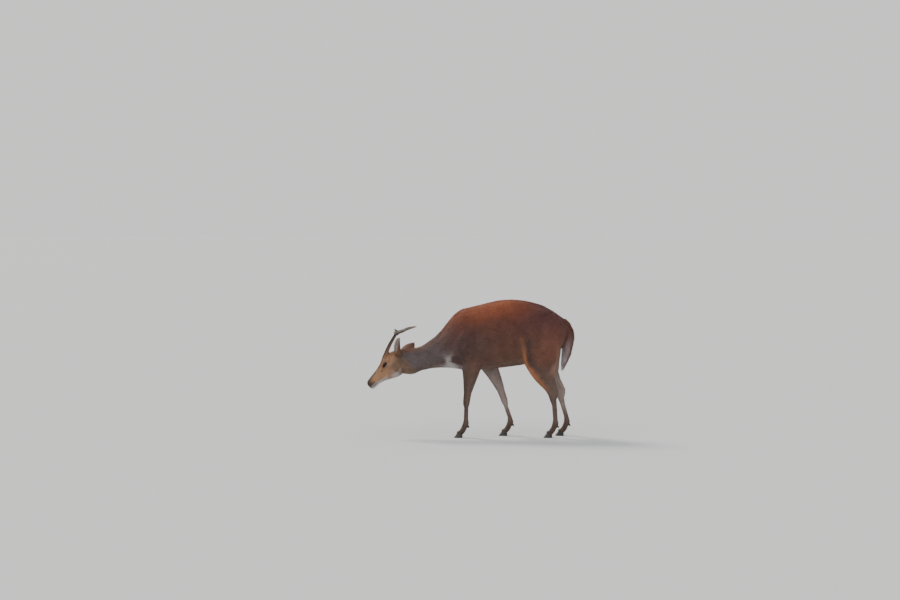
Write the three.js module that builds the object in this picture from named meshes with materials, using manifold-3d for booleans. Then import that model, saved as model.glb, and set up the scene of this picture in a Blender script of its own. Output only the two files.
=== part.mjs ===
// A life-size male muntjac, walking with its head low. Millimetres, +Z up, head towards -X, left side
// towards -Y. The shape is the outline of the coat. Every piece is a closed solid of its own.
import * as THREE from 'three';
import { LoftGeometry } from 'three/addons/geometries/LoftGeometry.js';
import { mergeVertices } from 'three/addons/utils/BufferGeometryUtils.js';
import Module from 'manifold-3d';

const wasm = await Module();
wasm.setup();

// Driving dimensions of the whole animal
const gap = 0.4;
const trunkSides = 32;
const headSides = 34;
const legSides = 16;

// Trunk and neck in upright sections: x, top and bottom line of the coat, half width, height of the
// widest place, and how sharply the top narrows (1 is round, more is a ridge)
const trunkStations = [
  { x: -332, top: 372, bottom: 318, half: 22, widest: 345, crest: 1 },
  { x: -316, top: 392, bottom: 298, half: 34, widest: 342, crest: 1 },
  { x: -296, top: 404, bottom: 284, half: 41, widest: 340, crest: 1 },
  { x: -265, top: 403, bottom: 281, half: 44, widest: 340, crest: 1.05 },
  { x: -232, top: 408, bottom: 290, half: 46, widest: 344, crest: 1.1 },
  { x: -196, top: 429, bottom: 300, half: 51, widest: 356, crest: 1.15 },
  { x: -160, top: 455, bottom: 306, half: 57, widest: 368, crest: 1.2 },
  { x: -125, top: 494, bottom: 308, half: 65, widest: 380, crest: 1.25 },
  { x: -90, top: 540, bottom: 307, half: 74, widest: 390, crest: 1.3 },
  { x: -50, top: 576, bottom: 302, half: 84, widest: 400, crest: 1.3 },
  { x: 0, top: 590, bottom: 297, half: 93, widest: 408, crest: 1.25 },
  { x: 60, top: 604, bottom: 299, half: 101, widest: 416, crest: 1.15 },
  { x: 120, top: 619, bottom: 305, half: 107, widest: 423, crest: 1.08 },
  { x: 185, top: 624, bottom: 313, half: 109, widest: 432, crest: 1.05 },
  { x: 250, top: 618, bottom: 324, half: 105, widest: 446, crest: 1.05 },
  { x: 310, top: 604, bottom: 340, half: 98, widest: 462, crest: 1.05 },
  { x: 360, top: 580, bottom: 358, half: 91, widest: 470, crest: 1.05 },
  { x: 400, top: 553, bottom: 386, half: 76, widest: 470, crest: 1.05 },
  { x: 424, top: 533, bottom: 430, half: 54, widest: 478, crest: 1 },
  { x: 440, top: 512, bottom: 474, half: 24, widest: 492, crest: 1 },
];

// Low swells and hollows of the trunk: place, reach along x and z, and height (minus is a hollow)
const trunkRelief = [
  { x: 232, z: 455, reachX: 42, reachZ: 62, out: -8 },
  { x: 300, z: 560, reachX: 34, reachZ: 30, out: 5 },
  { x: 120, z: 420, reachX: 70, reachZ: 80, out: 3 },
  { x: -70, z: 470, reachX: 26, reachZ: 60, out: -5 },
  { x: -185, z: 330, reachX: 60, reachZ: 16, out: -4 },
];

// The plane that parts the neck from the torso runs from the withers down to the point of the chest
const neckPlaneTop = { x: -66, z: 560 };
const neckPlaneFoot = { x: -122, z: 305 };

// Head, in its own frame: X runs from the poll towards the nose, Y to the left, Z to the forehead
const headPitch = THREE.MathUtils.degToRad(42);
const headPlace = new THREE.Vector3(-306, 0, 358);
const headStations = [
  { x: -24, top: 16, bottom: -20, half: 16, level: 0, crown: 1, jaw: 1 },
  { x: -14, top: 33, bottom: -38, half: 29, level: 4, crown: 1, jaw: 1 },
  { x: 4, top: 46, bottom: -50, half: 35, level: 9, crown: 0.95, jaw: 1.1 },
  { x: 28, top: 55, bottom: -56, half: 37, level: 14, crown: 0.9, jaw: 1.2 },
  { x: 54, top: 57, bottom: -57, half: 39, level: 17, crown: 0.85, jaw: 1.25 },
  { x: 76, top: 51, bottom: -52, half: 40.5, level: 19, crown: 0.8, jaw: 1.3 },
  { x: 96, top: 44, bottom: -43, half: 34, level: 14, crown: 0.85, jaw: 1.25 },
  { x: 116, top: 39, bottom: -33, half: 26.5, level: 8, crown: 0.9, jaw: 1.15 },
  { x: 136, top: 35, bottom: -25, half: 22, level: 4, crown: 0.92, jaw: 1.05 },
  { x: 156, top: 31.5, bottom: -21.5, half: 19.5, level: 3, crown: 0.9, jaw: 1 },
  { x: 174, top: 28.5, bottom: -21, half: 18.5, level: 3, crown: 0.88, jaw: 0.95 },
  { x: 187, top: 25.5, bottom: -20.5, half: 18, level: 3, crown: 0.88, jaw: 0.92 },
  { x: 195, top: 20.5, bottom: -16, half: 15, level: 2, crown: 0.9, jaw: 0.95 },
  { x: 199.5, top: 12, bottom: -8, half: 8.5, level: 2, crown: 1, jaw: 1 },
];

// Low relief of the head: cheek muscle, brow over the eye, frontal ridge, lips, nose pad and chin
const headRelief = [
  { x: 52, y: 34, z: -22, reachX: 26, reachY: 30, reachZ: 20, out: 3.5 },
  { x: 72, y: 30, z: 46, reachX: 18, reachY: 10, reachZ: 8, out: 3.5 },
  { x: 50, y: 20, z: 58, reachX: 22, reachY: 7, reachZ: 20, out: 4 },
  { x: 88, y: 13, z: 46, reachX: 22, reachY: 6, reachZ: 20, out: 3 },
  { x: 66, y: 0, z: 56, reachX: 30, reachY: 9, reachZ: 20, out: -2.5 },
  { x: 108, y: 30, z: 18, reachX: 14, reachY: 20, reachZ: 9, out: -3 },
  { x: 176, y: 17, z: 1, reachX: 18, reachY: 20, reachZ: 5, out: 1.6 },
  { x: 174, y: 14, z: -14, reachX: 18, reachY: 20, reachZ: 5, out: 1 },
  { x: 190, y: 9, z: 16, reachX: 7, reachY: 6, reachZ: 8, out: 1.8 },
];

const eye = { x: 77, y: 29, z: 28, radius: 13 };
const lidThickness = 2.3;
const eyeOpening = { length: 27, height: 19, tilt: THREE.MathUtils.degToRad(-14) };
const mouth = {
  cornerX: 151,
  cornerZ: -9,
  frontX: 206,
  frontZ: -4.5,
  sag: 2.5,
  height: 1.6,
  depth: 2.6,
};
const nostril = { x: 193.5, y: 9.5, z: 9.5, length: 5.5, height: 3, depth: 4, tilt: 0.7 };
const faceGland = { x: 101, y: 34, z: 17, length: 11, height: 3, depth: 6, tilt: -0.15 };

// Pedicle and antler, in the head's frame
const pedicle = { foot: [66, 19, 50], top: [-51, 37, 97], footRadius: 10.5, topRadius: 7.4, rise: 4 };
const burr = { radius: 12.5, height: 7, knobs: 8, knobSize: 0.09 };
const beamPath = [
  [-51, 37, 97],
  [-61, 42, 96],
  [-80, 50, 87.5],
  [-103, 55, 80],
  [-123, 54, 70],
  [-143, 47, 59],
];
const beamRadii = { foot: 7.2, middle: 5.2, tip: 0.9, middleAt: 0.35, taper: 1.6 };
const beamFlutes = { count: 5, depth: 0.05 };
const browTine = { at: 0.13, length: 25, footRadius: 4.2, tipRadius: 0.7, lean: [0.25, -0.3, 1], hook: 3 };

// Ears: root in the head's frame, then the way each points and opens, in the animal's frame
const earLength = 98;
const earSkin = 2.6;
const earSetBack = 12;
const earArcPoints = 8;
const earStations = [
  { u: 0, half: 11, wrap: 165, bend: 0 },
  { u: 0.16, half: 16, wrap: 135, bend: 1 },
  { u: 0.32, half: 22, wrap: 100, bend: 2 },
  { u: 0.5, half: 25.5, wrap: 76, bend: 2 },
  { u: 0.68, half: 24, wrap: 64, bend: 1 },
  { u: 0.84, half: 16.5, wrap: 56, bend: -1 },
  { u: 0.95, half: 8, wrap: 50, bend: -3 },
  { u: 1, half: 3.5, wrap: 45, bend: -4 },
];
const ears = {
  left: { root: [2, 29, 15], points: [-0.12, -0.58, 0.8], opens: [-0.95, -0.3, 0] },
  right: { root: [0, -28, 13], points: [0.58, 0.68, 0.42], opens: [-0.3, 0.7, -0.65] },
};

// Legs in level sections. A form gives half depth, half width and distance from the middle plane at
// each height, and a line gives the x of the leg's middle at each joint.
const forelegForm = [
  { z: 10, depth: 14.5, half: 15, side: 46 },
  { z: 28, depth: 16.5, half: 15.5, side: 46 },
  { z: 46, depth: 15, half: 14, side: 46.5 },
  { z: 63, depth: 15.5, half: 15, side: 47 },
  { z: 82, depth: 11.5, half: 11.5, side: 47.5 },
  { z: 135, depth: 11, half: 11.5, side: 49 },
  { z: 152, depth: 15.5, half: 15.5, side: 50 },
  { z: 170, depth: 17.5, half: 17, side: 51 },
  { z: 200, depth: 19, half: 17, side: 53 },
  { z: 234, depth: 26, half: 20, side: 56 },
  { z: 268, depth: 33, half: 24, side: 60 },
  { z: 300, depth: 42, half: 28, side: 62 },
  { z: 335, depth: 58, half: 32, side: 62 },
  { z: 370, depth: 74, half: 36, side: 61 },
  { z: 410, depth: 80, half: 39, side: 61 },
  { z: 455, depth: 70, half: 37, side: 58 },
  { z: 500, depth: 52, half: 32, side: 50 },
  { z: 540, depth: 30, half: 22, side: 42 },
  { z: 556, depth: 14, half: 10, side: 40 },
];
const hindlegForm = [
  { z: 10, depth: 14.5, half: 15, side: 48 },
  { z: 28, depth: 16.5, half: 15.5, side: 48 },
  { z: 46, depth: 15, half: 14, side: 49 },
  { z: 63, depth: 15.5, half: 15, side: 50 },
  { z: 84, depth: 12, half: 11.5, side: 51 },
  { z: 145, depth: 12.5, half: 11.5, side: 54 },
  { z: 172, depth: 17, half: 14, side: 56 },
  { z: 192, depth: 23, half: 15.5, side: 57 },
  { z: 212, depth: 31, half: 16, side: 58 },
  { z: 232, depth: 38, half: 18, side: 60 },
  { z: 256, depth: 46, half: 23, side: 62 },
  { z: 290, depth: 56, half: 29, side: 63 },
  { z: 325, depth: 74, half: 34, side: 63 },
  { z: 369, depth: 89, half: 39, side: 62 },
  { z: 420, depth: 96, half: 44, side: 61 },
  { z: 470, depth: 93, half: 43, side: 59 },
  { z: 520, depth: 80, half: 36, side: 52 },
  { z: 556, depth: 52, half: 24, side: 42 },
  { z: 576, depth: 22, half: 10, side: 38 },
];
const legs = {
  foreleg_left: {
    form: forelegForm,
    sign: -1,
    line: [[10, -48], [28, -36], [46, -26], [63, -19], [135, -17], [170, -15], [234, -5], [300, 5],
      [335, 7], [370, -1], [410, -4], [455, 3], [500, 12], [556, 16]],
  },
  foreleg_right: {
    form: forelegForm,
    sign: 1,
    line: [[10, 155], [28, 167], [46, 177], [63, 184], [135, 163], [170, 153], [234, 127], [300, 92],
      [335, 68], [370, 42], [410, 24], [455, 20], [500, 24], [556, 28]],
  },
  hindleg_left: {
    form: hindlegForm,
    sign: -1,
    line: [[10, 354], [28, 366], [46, 376], [63, 383], [145, 378], [172, 372], [192, 371], [212, 366],
      [232, 353], [256, 337], [290, 322], [325, 318], [369, 317], [420, 322], [470, 330], [520, 339],
      [576, 342]],
  },
  hindleg_right: {
    form: hindlegForm,
    sign: 1,
    line: [[10, 411], [28, 423], [46, 433], [63, 440], [145, 420], [172, 412], [192, 410], [212, 403],
      [232, 387], [256, 367], [290, 347], [325, 336], [369, 329], [420, 326], [470, 332], [520, 341],
      [576, 344]],
  },
};
const fetlockZ = 63;
const hoof = {
  toe: -55,
  heel: -15,
  wall: THREE.MathUtils.degToRad(52),
  heelLean: 0.1,
  top: 34,
  half: 8.2,
  sideLean: 0.02,
  cleft: 2.4,
  toeNarrowing: 0.35,
  toeTurn: 1.4,
  coronetFront: 24,
  coronetHeel: 13,
};
const dewclaw = { back: 11.5, z: 50, side: 7.5, size: [5, 4.2, 7.5], tilt: -0.45 };

// Tail: middle line from inside the rump to the tip, with half width and half thickness of the hair
const tailPath = [
  [424, 512],
  [440, 498],
  [447, 470],
  [444, 430],
  [439, 392],
  [427, 355],
  [413, 318],
  [409, 290],
];
const tailStations = [
  { u: 0, half: 12, thick: 13 },
  { u: 0.15, half: 18, thick: 20 },
  { u: 0.35, half: 24, thick: 26.5 },
  { u: 0.55, half: 26, thick: 27 },
  { u: 0.75, half: 22, thick: 25 },
  { u: 0.88, half: 15, thick: 18 },
  { u: 0.96, half: 8, thick: 9 },
  { u: 1, half: 3, thick: 3 },
];

const tailLocks = {
  seed: 11,
  rows: 5,
  round: 5,
  firstRow: 0.12,
  lastRow: 0.72,
  length: 0.31,
  width: 26,
  thickness: 6,
  rootShare: 0.25,
  coreShare: 0.5,
  coreLength: 0.93,
};

// Finishes
const coat = (colour) => new THREE.MeshStandardMaterial({ color: colour, roughness: 0.85, metalness: 0 });
const finishes = {
  chestnut: coat(0x94532f),
  darkChestnut: coat(0x7d4a33),
  greyBrown: coat(0x6f5a50),
  faceBrown: coat(0xb07a4c),
  blackStripe: coat(0x2f2622),
  hoofHorn: new THREE.MeshStandardMaterial({ color: 0x2a2420, roughness: 0.5, metalness: 0 }),
  antlerBone: new THREE.MeshStandardMaterial({ color: 0x5b4530, roughness: 0.6, metalness: 0 }),
  eyeball: new THREE.MeshStandardMaterial({ color: 0x120c08, roughness: 0.08, metalness: 0 }),
};

// A value between the stations of a table, smooth and without overshoot
function valueAt(stations, along, key, at) {
  const last = stations.length - 1;
  const step = (i, name) => stations[i + 1][name] - stations[i][name];
  const rise = (i) => step(i, key) / step(i, along);
  const slope = (i) => {
    if (i === 0) return rise(0);
    if (i === last) return rise(last - 1);
    const before = rise(i - 1);
    const after = rise(i);
    return before * after <= 0 ? 0 : (2 * before * after) / (before + after);
  };
  let i = 0;
  while (i < last - 1 && stations[i + 1][along] < at) i += 1;
  const span = step(i, along);
  const t = THREE.MathUtils.clamp((at - stations[i][along]) / span, 0, 1);
  const [t2, t3] = [t * t, t * t * t];
  return (
    (2 * t3 - 3 * t2 + 1) * stations[i][key] +
    (t3 - 2 * t2 + t) * span * slope(i) +
    (3 * t2 - 2 * t3) * stations[i + 1][key] +
    (t3 - t2) * span * slope(i + 1)
  );
}

function valuesAt(stations, along, keys, at) {
  return keys.map((key) => valueAt(stations, along, key, at));
}

// Places along a table: its stations, with each stretch between two of them cut into steps
function placesAlong(stations, along, steps) {
  const places = [];
  for (let i = 0; i < stations.length - 1; i += 1) {
    for (let k = 0; k < steps; k += 1) {
      places.push(THREE.MathUtils.lerp(stations[i][along], stations[i + 1][along], k / steps));
    }
  }
  places.push(stations[stations.length - 1][along]);
  return places;
}

const bent = (value, power) => Math.sign(value) * Math.abs(value) ** power;

function ring(sides, place) {
  return Array.from({ length: sides }, (_, i) => {
    const angle = (2 * Math.PI * i) / sides;
    return place(Math.cos(angle), Math.sin(angle));
  });
}

// A solid of a closed geometry, and back
function solidOf(geometry) {
  const bare = new THREE.BufferGeometry().copy(geometry);
  bare.deleteAttribute('normal');
  bare.deleteAttribute('uv');
  const merged = mergeVertices(bare, 1e-4);
  return new wasm.Manifold(
    new wasm.Mesh({
      numProp: 3,
      vertProperties: merged.attributes.position.array,
      triVerts: new Uint32Array(merged.index.array),
    }),
  );
}

function centreOf(points) {
  return points.reduce((sum, point) => sum.add(point), new THREE.Vector3()).divideScalar(points.length);
}

// A closed form through rings, turned round where they don't run the way that faces it outwards
function loftSolid(rings) {
  const [start, next] = [centreOf(rings[0]), centreOf(rings[1])];
  const turning = new THREE.Vector3();
  rings[0].forEach((point, i) => {
    const following = rings[0][(i + 1) % rings[0].length];
    turning.add(point.clone().sub(start).cross(following.clone().sub(start)));
  });
  const turnsRight = turning.dot(next.sub(start)) > 0;
  const sections = turnsRight ? rings : rings.map((points) => [...points].reverse());
  return solidOf(new LoftGeometry(sections, { closed: true, capStart: true, capEnd: true }));
}

function largest(solid) {
  return solid.decompose().reduce((a, b) => (a.volume() > b.volume() ? a : b));
}

function geometryOf(solid) {
  const mesh = solid.getMesh();
  return new THREE.BufferGeometry()
    .setAttribute('position', new THREE.BufferAttribute(mesh.vertProperties, 3))
    .setIndex(new THREE.BufferAttribute(mesh.triVerts, 1));
}

function moved(solid, matrix) {
  return solidOf(geometryOf(solid).applyMatrix4(matrix));
}

// How far the low relief pushes a point of the surface out
function reliefAt(relief, point, axes) {
  return relief.reduce((sum, spot) => {
    const away = axes.reduce((total, [key, reach]) => {
      const at = key === 'y' ? Math.abs(point.y) : point[key];
      return total + ((at - spot[key]) / spot[reach]) ** 2;
    }, 0);
    return sum + spot.out * Math.exp(-away);
  }, 0);
}

// The x of a section when the form grows at both of its ends
function grownAlong(stations, x, grow) {
  const first = stations[0].x;
  const last = stations[stations.length - 1].x;
  return x + grow * ((2 * (x - first)) / (last - first) - 1);
}

function trunkSolid(grow) {
  const rings = placesAlong(trunkStations, 'x', 2).map((x) => {
    const keys = ['top', 'bottom', 'half', 'widest', 'crest'];
    const [top, bottom, half, widest, crest] = valuesAt(trunkStations, 'x', keys, x);
    return ring(trunkSides, (c, s) => {
      const point = new THREE.Vector3(
        grownAlong(trunkStations, x, grow),
        (half + grow) * bent(c, s > 0 ? crest : 1),
        widest + (s > 0 ? top - widest + grow : widest - bottom + grow) * s,
      );
      const axes = [['x', 'reachX'], ['z', 'reachZ']];
      point.y += c * reliefAt(trunkRelief, point, axes);
      return point;
    });
  });
  return loftSolid(rings);
}

function headSolid(grow) {
  const rings = placesAlong(headStations, 'x', 2).map((x) => {
    const keys = ['top', 'bottom', 'half', 'level', 'crown', 'jaw'];
    const [top, bottom, half, level, crown, jaw] = valuesAt(headStations, 'x', keys, x);
    return ring(headSides, (c, s) => {
      const point = new THREE.Vector3(
        grownAlong(headStations, x, grow),
        (half + grow) * bent(c, s > 0 ? crown : jaw),
        level + (s > 0 ? top - level + grow : level - bottom + grow) * s,
      );
      const push = reliefAt(headRelief, point, [['x', 'reachX'], ['y', 'reachY'], ['z', 'reachZ']]);
      point.y += c * push;
      point.z += s * push;
      return point;
    });
  });
  return loftSolid(rings);
}

function legSolid(leg, grow) {
  const line = leg.line.map(([z, x]) => ({ z, x }));
  const top = leg.form[leg.form.length - 1].z;
  const rings = leg.form.map(({ z, depth, half, side }) => {
    const x = valueAt(line, 'z', 'x', z);
    const placedZ = z === top ? z + grow : z;
    return ring(
      legSides,
      (c, s) =>
        new THREE.Vector3(
          x + (depth + grow) * bent(c, 0.95),
          leg.sign * side + (half + grow) * bent(s, 0.95),
          placedZ,
        ),
    );
  });
  return loftSolid(rings);
}

// The slanted plane on which the pastern sits on its two hooves, as a normal and a distance
function coronetPlane(fetlockX) {
  const toeX = fetlockX + hoof.toe + hoof.coronetFront / Math.tan(hoof.wall);
  const front = new THREE.Vector2(toeX, hoof.coronetFront);
  const heel = new THREE.Vector2(fetlockX + hoof.heel, hoof.coronetHeel);
  const normal = new THREE.Vector3(front.y - heel.y, 0, heel.x - front.x).normalize();
  return { normal: normal.toArray(), offset: normal.x * front.x + normal.z * front.y };
}

function clawSolid(fetlockX, middleY, sign) {
  const rings = [0, 5, 17, hoof.top].map((z) => {
    const toeX = fetlockX + hoof.toe + z / Math.tan(hoof.wall);
    const heelX = fetlockX + hoof.heel + z * hoof.heelLean;
    const half = hoof.half - z * hoof.sideLean;
    return ring(12, (c, s) => {
      const toeward = c < 0 ? c * c : 0;
      const claw = half * s * (1 - hoof.toeNarrowing * toeward);
      return new THREE.Vector3(
        (toeX + heelX) / 2 + ((heelX - toeX) / 2) * bent(c, 0.9),
        middleY + sign * (half + hoof.cleft / 4 - hoof.toeTurn * toeward) + claw,
        z,
      );
    });
  });
  return loftSolid(rings);
}

function dewclawSolid(fetlockX, middleY, sign) {
  const shape = new THREE.SphereGeometry(1, 8, 4).scale(...dewclaw.size).rotateY(dewclaw.tilt);
  shape.translate(fetlockX + dewclaw.back, middleY + sign * dewclaw.side, dewclaw.z);
  return solidOf(shape);
}

// A round bar along a smooth path, with its radius as a function of the way along
function barSolid(points, radiusAt, sides, steps) {
  const curve = new THREE.CatmullRomCurve3(points.map((p) => new THREE.Vector3(...p)));
  const frames = curve.computeFrenetFrames(steps, false);
  const rings = frames.tangents.map((_, i) => {
    const centre = curve.getPointAt(i / steps);
    return ring(sides, (c, s) => {
      const radius = radiusAt(i / steps, Math.atan2(s, c));
      return centre
        .clone()
        .addScaledVector(frames.normals[i], c * radius)
        .addScaledVector(frames.binormals[i], s * radius);
    });
  });
  return loftSolid(rings);
}

const mirrorY = ([x, y, z], sign) => [x, y * sign, z];

function pedicleWay(sign) {
  const foot = new THREE.Vector3(...mirrorY(pedicle.foot, sign));
  return new THREE.Vector3(...mirrorY(pedicle.top, sign)).sub(foot).normalize();
}

function pedicleSolid(sign) {
  const [foot, top] = [mirrorY(pedicle.foot, sign), mirrorY(pedicle.top, sign)];
  const middle = foot.map((value, i) => (value + top[i]) / 2 + (i === 2 ? pedicle.rise : 0));
  const radiusAt = (u) => THREE.MathUtils.lerp(pedicle.footRadius, pedicle.topRadius, u);
  return barSolid([foot, middle, top], radiusAt, 12, 5);
}

function beamRadius(u, angle) {
  const { foot, middle, tip, middleAt, taper } = beamRadii;
  const plain = u < middleAt
    ? THREE.MathUtils.lerp(foot, middle, u / middleAt)
    : THREE.MathUtils.lerp(middle, tip, ((u - middleAt) / (1 - middleAt)) ** taper);
  return plain * (1 + beamFlutes.depth * Math.cos(beamFlutes.count * angle) * (1 - u));
}

function beamSolid(sign, grow) {
  const path = beamPath.map((point) => mirrorY(point, sign));
  return barSolid(path, (u, angle) => beamRadius(u, angle) + grow, 10, 12);
}

function burrSolid(sign) {
  const start = new THREE.Vector3(...mirrorY(beamPath[0], sign));
  const turn = new THREE.Quaternion().setFromUnitVectors(new THREE.Vector3(0, 0, 1), pedicleWay(sign));
  const levels = [[0, 0.72], [0.18, 0.95], [0.5, 1], [0.82, 0.85], [1, 0.6]];
  const rings = levels.map(([level, share]) =>
    ring(16, (c, s) => {
      const knob = 1 + burr.knobSize * Math.cos(burr.knobs * Math.atan2(s, c));
      const radius = burr.radius * share * knob;
      return new THREE.Vector3(c * radius, s * radius, level * burr.height).applyQuaternion(turn).add(start);
    }),
  );
  return loftSolid(rings);
}

function antlerPieces(sign) {
  const way = pedicleWay(sign);
  const seat = way.dot(new THREE.Vector3(...mirrorY(pedicle.top, sign)));
  const beam = beamSolid(sign, 0).add(burrSolid(sign)).trimByPlane(way.toArray(), seat + gap / 2);
  const curve = new THREE.CatmullRomCurve3(
    beamPath.map((point) => new THREE.Vector3(...mirrorY(point, sign))),
  );
  const foot = curve.getPointAt(browTine.at);
  const lean = new THREE.Vector3(...mirrorY(browTine.lean, sign)).normalize();
  const path = [0, 0.5, 1].map((u) => {
    const point = foot.clone().addScaledVector(lean, u * browTine.length);
    point.x -= browTine.hook * u * u;
    return point.toArray();
  });
  const radiusAt = (u) => THREE.MathUtils.lerp(browTine.footRadius, browTine.tipRadius, u);
  const tine = barSolid(path, radiusAt, 8, 4);
  const grown = beamSolid(sign, gap).add(burrSolid(sign).translate([0, 0, gap]));
  return {
    beam: largest(beam),
    tine: largest(tine.subtract(grown)),
    pedicle: pedicleSolid(sign).trimByPlane(way.clone().negate().toArray(), -(seat - gap / 2)),
  };
}

// An ear is a deep cup: each section is a curved band that opens wider towards the tip
function earSolid(placing) {
  const rings = placesAlong(earStations, 'u', 2).map((u) => {
    const [half, wrap, bend] = valuesAt(earStations, 'u', ['half', 'wrap', 'bend'], u);
    const reach = THREE.MathUtils.degToRad(wrap);
    const radius = half / Math.sin(Math.min(reach, Math.PI / 2));
    const skin = Math.min(earSkin, radius * 0.4);
    const band = (r, way) => Array.from({ length: earArcPoints }, (_, i) => {
      const angle = way * reach * ((2 * i) / (earArcPoints - 1) - 1);
      const back = radius - r * Math.cos(angle) - earSetBack + bend;
      return new THREE.Vector3(r * Math.sin(angle), back, u * earLength);
    });
    return [...band(radius, 1), ...band(radius - skin, -1)];
  });
  return moved(loftSolid(rings), placing);
}

function earPlacing(ear, headTurn) {
  const back = headTurn.clone().invert();
  const points = new THREE.Vector3(...ear.points).normalize().applyQuaternion(back);
  const opens = new THREE.Vector3(...ear.opens).applyQuaternion(back);
  opens.addScaledVector(points, -opens.dot(points)).normalize();
  const across = new THREE.Vector3().crossVectors(opens, points);
  const matrix = new THREE.Matrix4().makeBasis(across, opens, points);
  const root = new THREE.Vector3(...ear.root);
  return matrix.setPosition(root);
}

function ellipsoid(size, tilt, place, detail) {
  const shape = new THREE.SphereGeometry(1, detail, detail / 2).scale(...size);
  return solidOf(shape.rotateY(tilt).translate(...place));
}

function eyeballSolid(sign, grow) {
  const shape = new THREE.SphereGeometry(eye.radius + grow, 16, 8).rotateX(Math.PI / 2);
  return solidOf(shape.translate(eye.x, sign * eye.y, eye.z));
}

// The opening between the lids: pointed at both corners, cut straight through from the side
function lidOpening(sign) {
  const half = eyeOpening.length / 2;
  const outline = new THREE.Shape();
  outline.moveTo(-half, 0);
  outline.quadraticCurveTo(0, eyeOpening.height * 1.05, half, 0);
  outline.quadraticCurveTo(0, -eyeOpening.height * 0.95, -half, 0);
  const shape = new THREE.ExtrudeGeometry(outline, { depth: 40, bevelEnabled: false, curveSegments: 8 });
  shape.rotateX(Math.PI / 2).rotateY(-eyeOpening.tilt);
  shape.translate(eye.x, sign > 0 ? eye.y + 42 : eye.y * -1 - 2, eye.z);
  return solidOf(shape);
}

function mouthSlit() {
  const outline = new THREE.Shape();
  const middleX = (mouth.cornerX + mouth.frontX) / 2;
  const middleZ = (mouth.cornerZ + mouth.frontZ) / 2 - mouth.sag;
  outline.moveTo(mouth.cornerX, mouth.cornerZ);
  outline.quadraticCurveTo(middleX, middleZ + mouth.height, mouth.frontX, mouth.frontZ + mouth.height);
  outline.lineTo(mouth.frontX, mouth.frontZ - mouth.height / 2);
  outline.quadraticCurveTo(middleX, middleZ - mouth.height, mouth.cornerX, mouth.cornerZ);
  const shape = new THREE.ExtrudeGeometry(outline, { depth: 80, bevelEnabled: false, curveSegments: 6 });
  return solidOf(shape.rotateX(Math.PI / 2).translate(0, 40, 0));
}

// A small hollow such as a nostril, on one side of the head
function hollow(place, sign, detail) {
  const size = [place.length, place.depth, place.height];
  return ellipsoid(size, place.tilt, [place.x, sign * place.y, place.z], detail);
}

function detailedHead() {
  const lidRadius = eye.radius + lidThickness;
  let head = headSolid(0);
  for (const sign of [1, -1]) {
    const lids = ellipsoid([lidRadius, lidRadius, lidRadius], 0, [eye.x, sign * eye.y, eye.z], 18);
    head = head.add(lids).subtract(lidOpening(sign)).subtract(eyeballSolid(sign, gap));
    head = head.subtract(hollow(nostril, sign, 10)).subtract(hollow(faceGland, sign, 12));
  }
  return largest(head.subtract(mouthSlit().subtract(headSolid(-mouth.depth))));
}

// A place on the tail's outline: how far along, which way round, and the share of the hair's depth
function tailPlace(curve, u, angle, share) {
  const along = Math.min(u, 1);
  const [half, thick] = valuesAt(tailStations, 'u', ['half', 'thick'], along);
  const way = curve.getTangentAt(along);
  const across = new THREE.Vector3(0, 1, 0);
  const out = new THREE.Vector3().crossVectors(across, way);
  return curve
    .getPointAt(along)
    .addScaledVector(way, (u - along) * curve.getLength())
    .addScaledVector(across, half * share * Math.cos(angle))
    .addScaledVector(out, thick * share * Math.sin(angle));
}

// A flat lock of hair that rises out of the core and lies down along the tail to its tip
function tailLock(curve, foot, angle, length, width, twist) {
  const steps = [
    { t: 0, share: tailLocks.rootShare, wide: 0.7, thick: 1 },
    { t: 0.35, share: 0.78, wide: 1, thick: 1 },
    { t: 0.72, share: 0.95, wide: 0.72, thick: 0.75 },
    { t: 1, share: 1, wide: 0.1, thick: 0.15 },
  ];
  const rings = steps.map(({ t, share, wide, thick }) => {
    const turned = angle + twist * t;
    const centre = tailPlace(curve, foot + length * t, turned, share);
    const side = tailPlace(curve, foot + length * t, turned + 0.2, share + 0.3);
    const other = tailPlace(curve, foot + length * t, turned - 0.2, share + 0.3);
    const across = side.clone().sub(other).normalize();
    const out = side.add(other).divideScalar(2).sub(centre).normalize();
    const [halfWidth, halfThick] = [(width * wide) / 2, (tailLocks.thickness * thick) / 2];
    return [
      centre.clone().addScaledVector(across, halfWidth).addScaledVector(out, -halfThick),
      centre.clone().addScaledVector(out, halfThick),
      centre.clone().addScaledVector(across, -halfWidth).addScaledVector(out, -halfThick),
    ];
  });
  return loftSolid(rings);
}

// The tail: a slim core, with rows of overlapping locks out to the hair's outline
function tailSolid() {
  const curve = new THREE.CatmullRomCurve3(tailPath.map(([x, z]) => new THREE.Vector3(x, 0, z)));
  const rings = placesAlong(tailStations, 'u', 1).map((u) =>
    ring(12, (c, s) => tailPlace(curve, u * tailLocks.coreLength, Math.atan2(s, c), tailLocks.coreShare)),
  );
  let tail = loftSolid(rings);
  THREE.MathUtils.seededRandom(tailLocks.seed);
  const vary = (value, by) => value * (1 + by * (2 * THREE.MathUtils.seededRandom() - 1));
  for (let row = 0; row < tailLocks.rows; row += 1) {
    const foot = THREE.MathUtils.lerp(tailLocks.firstRow, tailLocks.lastRow, row / (tailLocks.rows - 1));
    for (let place = 0; place < tailLocks.round; place += 1) {
      const angle = (2 * Math.PI * (place + (row % 2) / 2 + vary(0.15, 1))) / tailLocks.round;
      const length = vary(tailLocks.length, 0.15);
      const lock = tailLock(curve, foot, angle, length, vary(tailLocks.width, 0.2), vary(0.1, 2));
      tail = tail.add(lock);
    }
  }
  return tail;
}

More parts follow.
